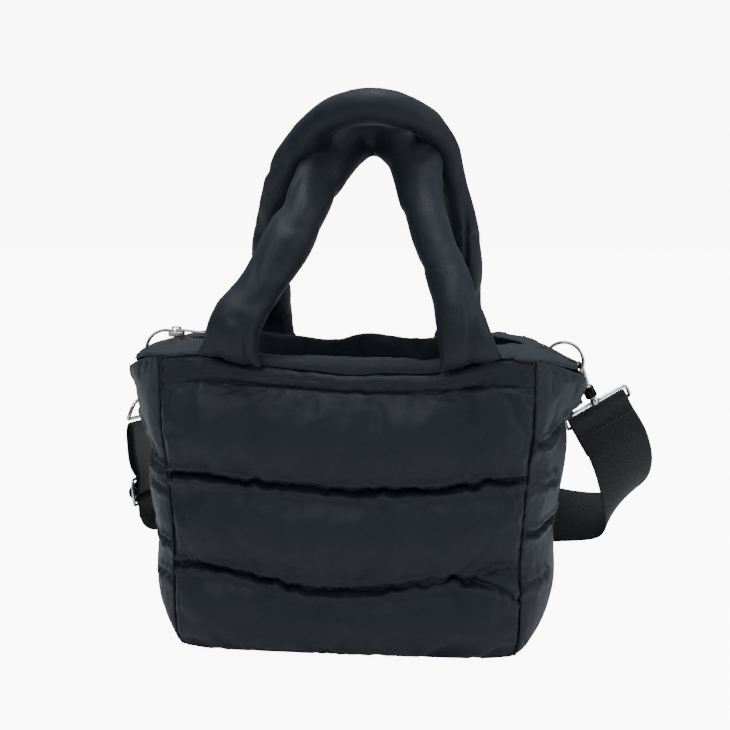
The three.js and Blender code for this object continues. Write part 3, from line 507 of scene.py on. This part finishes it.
# ---------------------------------------------------------------- Gussets
# The end walls: the same padded nylon, wider at the top, with two short quilting seams that
# pull the edge in between three puffs.
GUSSET_GROWTH = 0.01
GUSSET_SPLIT = 0.11
GUSSET_REACH = 0.060
GUSSET_TOP = 0.16
# short extra puckers beside the front seam: level, and from where to where along Y
SHORT_PUCKERS = {
    "left_gusset": [(0.116, -0.062, -0.040), (0.053, -0.062, -0.044)],
    "right_gusset": [(0.122, -0.062, -0.036), (0.055, -0.062, -0.040)],
}


def across_gusset(places, short):
    """The two quilting seams drawn out to the edges of the gusset, and its short puckers."""
    places = np.array(places, float)
    line = []
    for part in (places[places[:, 2] > GUSSET_SPLIT], places[places[:, 2] <= GUSSET_SPLIT]):
        bend = np.polyfit(part[:, 1], part[:, 2], 2)
        for y in np.arange(-GUSSET_REACH, GUSSET_REACH, MM):
            inside = np.clip(y, part[:, 1].min(), part[:, 1].max())
            line.append((0.0, y, float(np.polyval(bend, inside))))
    for level, start, end in short:
        line += [(0.0, y, level) for y in np.arange(start, end, MM)]
    return line


for side, node, seed in ((-1, "left_gusset", 30), (1, "right_gusset", 40)):
    wall, seams = soft_copy(node, node.replace("gusset", "end_wall"), 2, sharp=WALL_SHARP)
    outward = (side, 0, 0)
    puff_out(
        wall, seams["rim"] + seams["quilting"],
        lambda co, no, side=side: no[:, 0] * side > OUTER_FACE, GUSSET_GROWTH,
    )
    smoothed(wall, 1)
    cross = across_gusset(seams["quilting"], SHORT_PUCKERS[node])
    gather(
        wall, cross, depth=2.0 * MM, reach=8 * MM, pitch=6 * MM,
        seed=seed, way=outward, seen_along=0,
    )
    gather(
        wall, seams["rim"], depth=0.7 * MM, reach=3.5 * MM, pitch=3 * MM,
        seed=seed + 2, way=outward,
    )
    quilt(
        wall, cross, outward, depth=2.6 * MM, width=2.0 * MM, jag=7.0 * MM, pitch=6 * MM,
        seed=seed + 6, seen_along=0, lip=LIP,
    )
    quilt(
        wall, seams["rim"], outward, depth=1.1 * MM, width=1.3 * MM, jag=0.0, pitch=5 * MM,
        seed=seed + 8,
    )
    swell(wall, size=(0.05, 0.05, 0.035), height=1.6 * MM, seed=seed + 4)
    creases(wall, size=(0.05, 0.06, 0.02), depth=0.6 * MM, width=0.05, seed=seed + 5)
    for way in (1, -1):
        overlap(wall, (0, way, 0), TUCKED, least=0.5)
    overlap(wall, (0, 0, 1), 1.4 * MM, least=0.4, where=lambda co: co[:, 2] > GUSSET_TOP)
    dressed(wall, node, nylon)

# ---------------------------------------------------------------- Top bands
# Two folded strips of nylon round the mouth. They lean in from the top seam, close over the
# ends under the zip, and hang down inside as a facing.
SHOULDER_START = 0.112
for node, seed in (("front_top_band", 50), ("back_top_band", 60)):
    band, seams = soft_copy(node, node.replace("_top_band", "_band"), 3, sharp=50)
    gather(
        band, seams["rim"], depth=1.0 * MM, reach=9 * MM, pitch=9 * MM,
        seed=seed, way=(0, 0, 1),
    )
    swell(band, size=(0.035, 0.03, 0.03), height=1.8 * MM, seed=seed + 4)
    creases(
        band, size=(0.022, 0.03, 0.03), depth=1.4 * MM, width=0.08, seed=seed + 5, patch=0.04
    )
    overlap(
        band, (0, 0, -1), 1.2 * MM, least=0.3,
        where=lambda co: np.abs(co[:, 0]) > SHOULDER_START,
    )
    dressed(band, node, nylon)

# ---------------------------------------------------------------- Handles
# Two tubes of nylon stuffed with wadding, pressed flat where they are sewn behind the top
# seam. The back one lies over the front one at the top, and both have soft bending creases.
ARCH_MIDDLE = Vector((0.008, 0.0, 0.285))
TUCK_LEVEL = 0.302
TUCK_RANGE = 0.045
TUCK_HEIGHT = 17 * MM


def tuck_under(obj):
    """Widens the top of the front handle upwards, where it is folded under the back one."""
    co, no = points_of(obj)
    out = co - np.array(ARCH_MIDDLE)
    out[:, 1] = 0
    out /= np.linalg.norm(out, axis=1)[:, None]
    rise = np.clip((co[:, 2] - TUCK_LEVEL) / TUCK_RANGE, 0, 1)
    rise = rise * rise * (3 - 2 * rise)
    outer = np.clip(0.5 + 0.7 * np.sum(no * out, axis=1), 0, 1)
    set_points(obj, co + out * (TUCK_HEIGHT * rise * outer)[:, None])


for node, seed in (("front_handle", 70), ("back_handle", 80)):
    handle, _ = soft_copy(node, node.replace("handle", "carry_handle"), 3, sharp=70)
    if node == "front_handle":
        tuck_under(handle)
    swell(handle, size=(0.04, 0.05, 0.035), height=3.2 * MM, seed=seed)
    swell(handle, size=(0.018, 0.02, 0.02), height=1.6 * MM, seed=seed + 7)
    creases(
        handle, size=(0.02, 0.03, 0.06), depth=2.0 * MM, width=0.10, seed=seed + 1, patch=0.05
    )
    creases(
        handle, size=(0.06, 0.04, 0.022), depth=1.6 * MM, width=0.07, seed=seed + 2, patch=0.04
    )
    dressed(handle, node, nylon)

# ---------------------------------------------------------------- Rings and their tabs
# A round wire ring at each end hangs in a short nylon tab that is sewn to the shoulder. The
# wire is plated in a warm steel colour.
STEEL_COLOUR = (0.47, 0.44, 0.38, 1)
STEEL_ROUGHNESS = 0.24
MARK_SCALE, MARK_DETAIL = 420, 3


def metal(name, colour, roughness):
    """Plated metal with faint wear marks in its gloss."""
    material = bpy.data.materials.new(name)
    material.use_nodes = True
    nodes, links = material.node_tree.nodes, material.node_tree.links
    shader = nodes["Principled BSDF"]
    shader.inputs["Base Color"].default_value = colour
    shader.inputs["Metallic"].default_value = 1.0
    place = nodes.new("ShaderNodeTexCoord")
    marks = nodes.new("ShaderNodeTexNoise")
    marks.inputs["Scale"].default_value = MARK_SCALE
    marks.inputs["Detail"].default_value = MARK_DETAIL
    spread = nodes.new("ShaderNodeMapRange")
    spread.inputs["To Min"].default_value = roughness * 0.7
    spread.inputs["To Max"].default_value = roughness * 1.5
    links.new(place.outputs["Object"], marks.inputs["Vector"])
    links.new(marks.outputs["Fac"], spread.inputs["Value"])
    links.new(spread.outputs["Result"], shader.inputs["Roughness"])
    return material


ring_steel = metal("ring_steel", STEEL_COLOUR, STEEL_ROUGHNESS)

for side in ("left", "right"):
    tab, _ = soft_copy("ring_tab_" + side, "tab_" + side, 3)
    dressed(tab, "ring_tab_" + side, nylon)
    ring, _ = soft_copy("ring_" + side, "round_ring_" + side, 2)
    dressed(ring, "ring_" + side, ring_steel)

# ---------------------------------------------------------------- Zip
# A metal zip: a row of teeth on each tape, closed over the left shoulder and open along the
# mouth, with a slider and a plain pull.
TOOTH_PITCH = 2.2 * MM
TOOTH_SIZE = (1.9 * MM, 2.3 * MM, 1.25 * MM)
TOOTH_SINK = 0.9 * MM
ZIP_COLOUR = (0.50, 0.48, 0.43, 1)
ZIP_ROUGHNESS = 0.3
TAPE_COLOUR = (0.014, 0.014, 0.016, 1)
TAPE_ROUGHNESS = 0.7
TAPE_SHEEN = 0.1
FLAT_CAP = 0.02
zip_metal = metal("zip_metal", ZIP_COLOUR, ZIP_ROUGHNESS)


def rails(node):
    """The corners of a CAD ribbon's cross sections, from one end to the other."""
    bm = merged(node)
    ends = [
        v for v in bm.verts
        if len(v.link_edges) == 4 and max(e.calc_face_angle(0) for e in v.link_edges) < FLAT_CAP
    ]
    cap = min(ends, key=lambda v: (v.co.x, v.co.y, v.co.z))
    corners = [e.other_vert(cap) for e in cap.link_edges]
    first = [corners.pop(0)]
    while corners:
        beside = {e.other_vert(first[-1]) for e in first[-1].link_edges}
        first.append(next(v for v in corners if v in beside))
        corners.remove(first[-1])
    seen, sections = {cap, *ends, *first}, [first]
    while True:
        ahead = {e.other_vert(v) for v in sections[-1] for e in v.link_edges} - seen
        if len(ahead) != 4:
            break
        now = min(
            itertools.permutations(ahead),
            key=lambda way: sum((a.co - b.co).length for a, b in zip(way, sections[-1])),
        )
        seen |= ahead
        sections.append(list(now))
    places = np.array([[v.co[:] for v in section] for section in sections], float)
    bm.free()
    return places


def curve_through(name, points):
    """A straight-sided curve object through the points."""
    data = bpy.data.curves.new(name, "CURVE")
    data.dimensions = "3D"
    spline = data.splines.new("POLY")
    spline.points.add(len(points) - 1)
    for place, point in zip(spline.points, points):
        place.co = (*point, 1)
    return placed(name, data)


def row_tree(name):
    """A node tree that sets blocks or beads along a curve, evenly spaced."""
    tree = bpy.data.node_groups.new(name, "GeometryNodeTree")
    sockets = {}
    for title, kind, direction in (
        ("Geometry", "NodeSocketGeometry", "INPUT"), ("Pitch", "NodeSocketFloat", "INPUT"),
        ("Size", "NodeSocketVector", "INPUT"), ("Round", "NodeSocketBool", "INPUT"),
        ("Finish", "NodeSocketMaterial", "INPUT"), ("Geometry", "NodeSocketGeometry", "OUTPUT"),
    ):
        socket = tree.interface.new_socket(title, in_out=direction, socket_type=kind)
        if direction == "INPUT":
            sockets[title] = socket.identifier
    nodes, links = tree.nodes, tree.links
    entry, leave = nodes.new("NodeGroupInput"), nodes.new("NodeGroupOutput")
    places = nodes.new("GeometryNodeCurveToPoints")
    places.mode = "LENGTH"
    block = nodes.new("GeometryNodeMeshCube")
    bead = nodes.new("GeometryNodeMeshIcoSphere")
    bead.inputs["Radius"].default_value = 0.5
    bead.inputs["Subdivisions"].default_value = 2
    stretched = nodes.new("GeometryNodeTransform")
    shape = nodes.new("GeometryNodeSwitch")
    shape.input_type = "GEOMETRY"
    put = nodes.new("GeometryNodeInstanceOnPoints")
    real = nodes.new("GeometryNodeRealizeInstances")
    finish = nodes.new("GeometryNodeSetMaterial")
    links.new(entry.outputs["Geometry"], places.inputs["Curve"])
    links.new(entry.outputs["Pitch"], places.inputs["Length"])
    links.new(entry.outputs["Size"], block.inputs["Size"])
    links.new(entry.outputs["Size"], stretched.inputs["Scale"])
    links.new(bead.outputs["Mesh"], stretched.inputs["Geometry"])
    links.new(entry.outputs["Round"], shape.inputs["Switch"])
    links.new(block.outputs["Mesh"], shape.inputs["False"])
    links.new(stretched.outputs["Geometry"], shape.inputs["True"])
    links.new(places.outputs["Points"], put.inputs["Points"])
    links.new(places.outputs["Rotation"], put.inputs["Rotation"])
    links.new(shape.outputs["Output"], put.inputs["Instance"])
    links.new(put.outputs["Instances"], real.inputs["Geometry"])
    links.new(real.outputs["Geometry"], finish.inputs["Geometry"])
    links.new(entry.outputs["Finish"], finish.inputs["Material"])
    links.new(finish.outputs["Geometry"], leave.inputs["Geometry"])
    return tree, sockets


row_nodes, row_sockets = row_tree("row_of_parts")


def row(name, points, pitch, size, rounded, material):
    """A row of blocks or beads along a line. Size is across, thick and along."""
    curve = curve_through(name + "_line", points)
    modifier = curve.modifiers.new("row", "NODES")
    modifier.node_group = row_nodes
    modifier[row_sockets["Pitch"]] = pitch
    modifier[row_sockets["Size"]] = size
    modifier[row_sockets["Round"]] = rounded
    modifier[row_sockets["Finish"]] = material
    bpy.context.view_layer.update()
    depsgraph = bpy.context.evaluated_depsgraph_get()
    mesh = bpy.data.meshes.new_from_object(curve.evaluated_get(depsgraph))
    bpy.data.objects.remove(curve)
    obj = placed(name, mesh)
    if rounded:
        obj.data.shade_smooth()
    return obj


tape_black = cloth_material(
    "zip_tape", TAPE_COLOUR, TAPE_ROUGHNESS,
    crumple_depth=0.4 * MM, weave_depth=0.1 * MM, sheen=TAPE_SHEEN,
)
for side, start in (("front", 0.0), ("back", 0.5)):
    node = "zip_chain_" + side
    tape, _ = soft_copy(node, "zip_tape_" + side, 1)
    dressed(tape, node, tape_black)
    sections = rails(node)
    top = np.sort(sections[:, :, 2], axis=1)[:, 2:].mean(1)
    middle = sections.mean(1)
    line = np.column_stack([middle[:, 0], middle[:, 1], top - TOOTH_SINK])
    ahead = (line[1] - line[0]) / np.linalg.norm(line[1] - line[0])
    line[0] = line[0] + ahead * TOOTH_PITCH * start
    teeth = row("zip_teeth_" + side, line, TOOTH_PITCH, TOOTH_SIZE, False, zip_metal)
    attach(teeth, "bag")

for node, name, body in (
    ("zip_slider", "slider", "bag"), ("zip_pull", "pull_tab", "zip_pull_body"),
):
    part, _ = soft_copy(node, name, 2, sharp=60, hardness=0.55)
    dressed(part, node, zip_metal, body)

# ---------------------------------------------------------------- Strap loops, hooks and gates
# Chrome snap hooks on the round rings. Each turns on the post of the strap's wire loop. It has
# a black band round its barrel, a bent arm with a knurled black sleeve, and a sprung gate.
BRIGHT_COLOUR = (0.56, 0.56, 0.57, 1)
BRIGHT_ROUGHNESS = 0.13
BLACK_METAL = (0.012, 0.012, 0.013, 1)
BLACK_ROUGHNESS = 0.3
bright_steel = metal("bright_steel", BRIGHT_COLOUR, BRIGHT_ROUGHNESS)
black_metal = metal("black_metal", BLACK_METAL, BLACK_ROUGHNESS)

# swivel's origin, swivel's axis and the way that the opened hook points
CLIPS = {
    "left": (
        (-0.16843, 0.04483, 0.15649), (0.36007, 0.12002, 0.92517), (0.33669, -0.94157, -0.00889)
    ),
    "right": (
        (0.17745, 0.04402, 0.16043), (-0.48011, 0, 0.87721), (0.45002, 0.85838, 0.2463)
    ),
}
HOOK_BEND = 6.6 * MM
BEND_HEIGHT = 25.7 * MM
# radius and height above the swivel's origin, in mm
BARREL_LINE = [(4.3, 4.2), (4.62, 5.2), (4.62, 11.6), (4.3, 12.6), (4.2, 12.6), (4.2, 4.2)]
SLEEVE_START, SLEEVE_END, SLEEVE_STEP = -8, 52, 4
SLEEVE_PITCH = 0.85 * MM
SLEEVE_SIZE = (4.7 * MM, 4.7 * MM, 1.1 * MM)
ROUND_SIDES = 40


def turned_out(mesh):
    """Turns every face of a closed mesh outwards."""
    bm = bmesh.new()
    bm.from_mesh(mesh)
    bmesh.ops.recalc_face_normals(bm, faces=bm.faces)
    bm.to_mesh(mesh)
    bm.free()


def turned(name, line, origin, axis):
    """A ring of metal turned round an axis. The closed line is radius and height, in mm."""
    turn = Vector(axis).to_track_quat("Z", "Y").to_matrix()
    count = len(line)
    verts, faces = [], []
    for i in range(ROUND_SIDES):
        angle = math.tau * i / ROUND_SIDES
        for radius, height in line:
            spot = Vector((radius * math.cos(angle), radius * math.sin(angle), height)) * MM
            verts.append(Vector(origin) + turn @ spot)
        here, there = i * count, (i + 1) % ROUND_SIDES * count
        for k in range(count):
            m = (k + 1) % count
            faces.append((here + k, here + m, there + m, there + k))
    mesh = bpy.data.meshes.new(name)
    mesh.from_pydata(verts, [], faces)
    turned_out(mesh)
    mesh.shade_smooth()
    return placed(name, mesh)


for side in ("left", "right"):
    origin, axis, plane = CLIPS[side]
    body = "hook_" + side + "_body"
    barrel = turned("barrel_" + side, BARREL_LINE, origin, axis)
    barrel.data.materials.append(black_metal)
    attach(barrel, body)
    arc = []
    for degree in range(SLEEVE_START, SLEEVE_END + 1, SLEEVE_STEP):
        turn = math.radians(degree)
        arc.append(
            Vector(origin) + Vector(plane) * HOOK_BEND * math.cos(turn)
            + Vector(axis) * (BEND_HEIGHT + HOOK_BEND * math.sin(turn))
        )
    sleeve = row("sleeve_" + side, arc, SLEEVE_PITCH, SLEEVE_SIZE, True, black_metal)
    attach(sleeve, body)
    loop, _ = soft_copy("strap_loop_" + side, "wire_loop_" + side, 2, sharp=50)
    dressed(loop, "strap_loop_" + side, bright_steel)
    hook, _ = soft_copy("hook_" + side, "snap_hook_" + side, 2, sharp=50)
    dressed(hook, "hook_" + side, bright_steel, body)
    gate, _ = soft_copy("hook_gate_" + side, "snap_gate_" + side, 2)
    dressed(gate, "hook_gate_" + side, bright_steel, "gate_" + side + "_body")

# ---------------------------------------------------------------- Strap and its slide
# One length of black twill webbing, doubled through the slide on the left and sewn round the
# loop on the right, with a line of stitches across that fold.
WEBBING_COLOUR = (0.0075, 0.0082, 0.0098, 1)
WEBBING_ROUGHNESS = 0.55
WEBBING_WIDTH = 48 * MM
WEBBING_THICKNESS = 1.3 * MM
EDGE_ROUND = 1.2 * MM
STRAP_CELLS = 32
STRAP_STEP = 1.6 * MM
LONG_SECTION = 6 * MM
RIB_PERIOD = 1.68 * MM
RIB_DEPTH = 0.3 * MM
RIB_SHAKE = 0.6
WAVE_RATE = 10


def ribbed_material(name, colour):
    """Webbing: fine slanted ribs that follow the strap along its length."""
    material = bpy.data.materials.new(name)
    material.use_nodes = True
    nodes, links = material.node_tree.nodes, material.node_tree.links
    shader = nodes["Principled BSDF"]
    shader.inputs["Base Color"].default_value = colour
    shader.inputs["Roughness"].default_value = WEBBING_ROUGHNESS
    shader.inputs["Specular IOR Level"].default_value = CLOTH_GLOSS
    place = nodes.new("ShaderNodeUVMap")
    place.uv_map = "along"
    wave = nodes.new("ShaderNodeTexWave")
    wave.bands_direction = "DIAGONAL"
    wave.inputs["Scale"].default_value = math.tau / (WAVE_RATE * RIB_PERIOD)
    wave.inputs["Distortion"].default_value = RIB_SHAKE
    bump = nodes.new("ShaderNodeBump")
    bump.inputs["Strength"].default_value = 1.0
    bump.inputs["Distance"].default_value = RIB_DEPTH
    links.new(place.outputs["UV"], wave.inputs["Vector"])
    links.new(wave.outputs["Fac"], bump.inputs["Height"])
    links.new(bump.outputs["Normal"], shader.inputs["Normal"])
    return material


webbing = ribbed_material("black_webbing", WEBBING_COLOUR)


def fine_line(places):
    """Extra sections between the ribbon's own, on smooth curves where these stand far apart."""
    lines = []
    for i in range(len(places) - 1):
        a = places[max(i - 1, 0)]
        b, c = places[i], places[i + 1]
        d = places[min(i + 2, len(places) - 1)]
        length = np.linalg.norm(c.mean(0) - b.mean(0))
        steps = max(1, round(length / STRAP_STEP))
        for k in range(steps):
            t = k / steps
            if length > LONG_SECTION:
                point = 0.5 * (
                    2 * b + (c - a) * t + (2 * a - 5 * b + 4 * c - d) * t * t
                    + (3 * b - a - 3 * c + d) * t ** 3
                )
            else:
                point = b + (c - b) * t
            lines.append(point)
    lines.append(places[-1])
    return np.array(lines)


# the right loop: its foot on the swivel, the way its bars run and the way up across it
LOOP_FOOT = Vector(CLIPS["right"][0])
LOOP_BAR = Vector((0.86, 0.1, 0.5)).normalized()
LOOP_UP = Vector((-0.36, -0.62, 0.62))
LOOP_UP = (LOOP_UP - LOOP_BAR * LOOP_BAR.dot(LOOP_UP)).normalized()
LOOP_HEIGHT = 15 * MM
LOOP_LOW = LOOP_FOOT - LOOP_UP * LOOP_HEIGHT
FOLD_RISE = 7 * MM
FOLD_REACH = 12 * MM
RISE_START, RISE_RANGE = 3 * MM, 4 * MM
FREE_OF_LOOP, FREE_OF_SLIDE, FREE_TOP = 0.030, 0.045, 0.15
SLIDE_MIDDLE = Vector((-0.169, 0.036, 0.087))
EASING_ROUNDS = 70


def eased(places):
    """Evens out the strap's free run, keeping its width and thickness."""
    middle = places.mean(1)
    free = (np.linalg.norm(middle - np.array(LOOP_LOW), axis=1) > FREE_OF_LOOP) & (
        np.linalg.norm(middle - np.array(SLIDE_MIDDLE), axis=1) > FREE_OF_SLIDE
    )
    free &= middle[:, 2] < FREE_TOP
    free[[0, 1, -2, -1]] = False
    soft = places.copy()
    for _ in range(EASING_ROUNDS):
        step = soft.copy()
        step[1:-1] = (soft[:-2] + 2 * soft[1:-1] + soft[2:]) / 4
        soft[free] = step[free]
    for i in np.flatnonzero(free):
        centre = soft[i].mean(0)
        wide = soft[i, 1] + soft[i, 2] - soft[i, 0] - soft[i, 3]
        thin = soft[i, 3] + soft[i, 2] - soft[i, 0] - soft[i, 1]
        wide /= np.linalg.norm(wide)
        thin -= wide * (thin @ wide)
        thin /= np.linalg.norm(thin)
        for k, (a, b) in enumerate(((-1, -1), (1, -1), (1, 1), (-1, 1))):
            soft[i, k] = centre + wide * a * WEBBING_WIDTH / 2 + thin * b * WEBBING_THICKNESS / 2
    return soft


def rounded_sections(lines):
    """Points round each section, with the webbing's two long edges thinned."""
    share = np.linspace(0, 1, STRAP_CELLS + 1)
    top = lines[:, None, 0] + (lines[:, None, 1] - lines[:, None, 0]) * share[None, :, None]
    low = lines[:, None, 3] + (lines[:, None, 2] - lines[:, None, 3]) * share[None, :, None]
    from_edge = np.clip(np.minimum(share, 1 - share) * WEBBING_WIDTH / EDGE_ROUND, 0, 1)
    thin = from_edge[None, :, None] ** 0.5 * 0.5 + 0.5
    middle = (top + low) / 2
    top, low = middle + (top - middle) * thin, middle + (low - middle) * thin
    return np.concatenate([top, low[:, ::-1]], axis=1)


def lifted_fold(verts):
    """Draws the fold round the right loop's lower bar up towards its upper bar."""
    bar, up = np.array(LOOP_BAR), np.array(LOOP_UP)
    from_bar = verts - np.array(LOOP_LOW)
    from_bar -= np.outer(from_bar @ bar, bar)
    rise = np.clip((from_bar @ up + RISE_START) / RISE_RANGE, 0, 1)
    rise *= np.linalg.norm(from_bar, axis=1) < FOLD_REACH
    return verts + np.outer(rise * FOLD_RISE, up)


# corners 0-1 and 3-2 of each section run across the width, on the two faces
sections = rails("strap")
first_side = np.linalg.norm(sections[0, 1] - sections[0, 0])
if first_side < np.linalg.norm(sections[0, 2] - sections[0, 1]):
    sections = np.roll(sections, 1, axis=1)
fine = eased(fine_line(sections))
sections_round = rounded_sections(fine)
rows, ring = sections_round.shape[:2]
faces = [
    (i * ring + j, i * ring + (j + 1) % ring, (i + 1) * ring + (j + 1) % ring, (i + 1) * ring + j)
    for i in range(rows - 1) for j in range(ring)
]
for start in (0, (rows - 1) * ring):
    for j in range(STRAP_CELLS):
        faces.append((start + j, start + j + 1, start + ring - 2 - j, start + ring - 1 - j))
strap_mesh = bpy.data.meshes.new("webbing_strap")
strap_mesh.from_pydata(lifted_fold(sections_round.reshape(-1, 3)).tolist(), [], faces)
steps_along = np.linalg.norm(np.diff(fine.mean(1), axis=0), axis=1)
along = np.concatenate([[0], np.cumsum(steps_along)])
share = np.linspace(0, 1, STRAP_CELLS + 1)
across = np.concatenate([share, share[::-1]]) * WEBBING_WIDTH
uv = strap_mesh.uv_layers.new(name="along")
for loop in strap_mesh.loops:
    i, j = divmod(loop.vertex_index, ring)
    uv.data[loop.index].uv = (across[j], along[i])
turned_out(strap_mesh)
strap = placed("webbing_strap", strap_mesh)
strap.data.shade_smooth()
dressed(strap, "strap", webbing)

# the stitches lie on the fold's outer face, under the right loop
STITCH_SIZE = (0.9 * MM, 0.9 * MM, 2.2 * MM)
STITCH_PITCH = 2.9 * MM
STITCH_DROP = 11 * MM
STITCH_SLACK = 1.2 * MM
STITCH_ENDS = (0.06, 0.94)
THREAD_COLOUR = (0.035, 0.038, 0.043, 1)
THREAD_ROUGHNESS = 0.4
from_low = fine.mean(1) - np.array(LOOP_LOW)
around = np.flatnonzero(
    np.abs(np.linalg.norm(from_low, axis=1) - STITCH_DROP) < STITCH_SLACK
)
at = max(around, key=lambda i: Vector(from_low[i]).dot(camera_away))
stitched_face = max(
    ((fine[at, 0], fine[at, 1]), (fine[at, 3], fine[at, 2])),
    key=lambda pair: Vector((pair[0] + pair[1]) / 2).dot(camera_away),
)
stitch_line = [
    Vector(stitched_face[0]).lerp(Vector(stitched_face[1]), place)
    for place in np.linspace(*STITCH_ENDS, 20)
]
thread = cloth_material(
    "black_thread", THREAD_COLOUR, THREAD_ROUGHNESS,
    crumple_depth=0.1 * MM, weave_depth=0.03 * MM, sheen=0.0,
)
stitches = row("strap_stitches", stitch_line, STITCH_PITCH, STITCH_SIZE, True, thread)
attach(stitches, "bag")

slide, _ = soft_copy("strap_slider", "wire_slide", 2, sharp=80)
dressed(slide, "strap_slider", bright_steel)
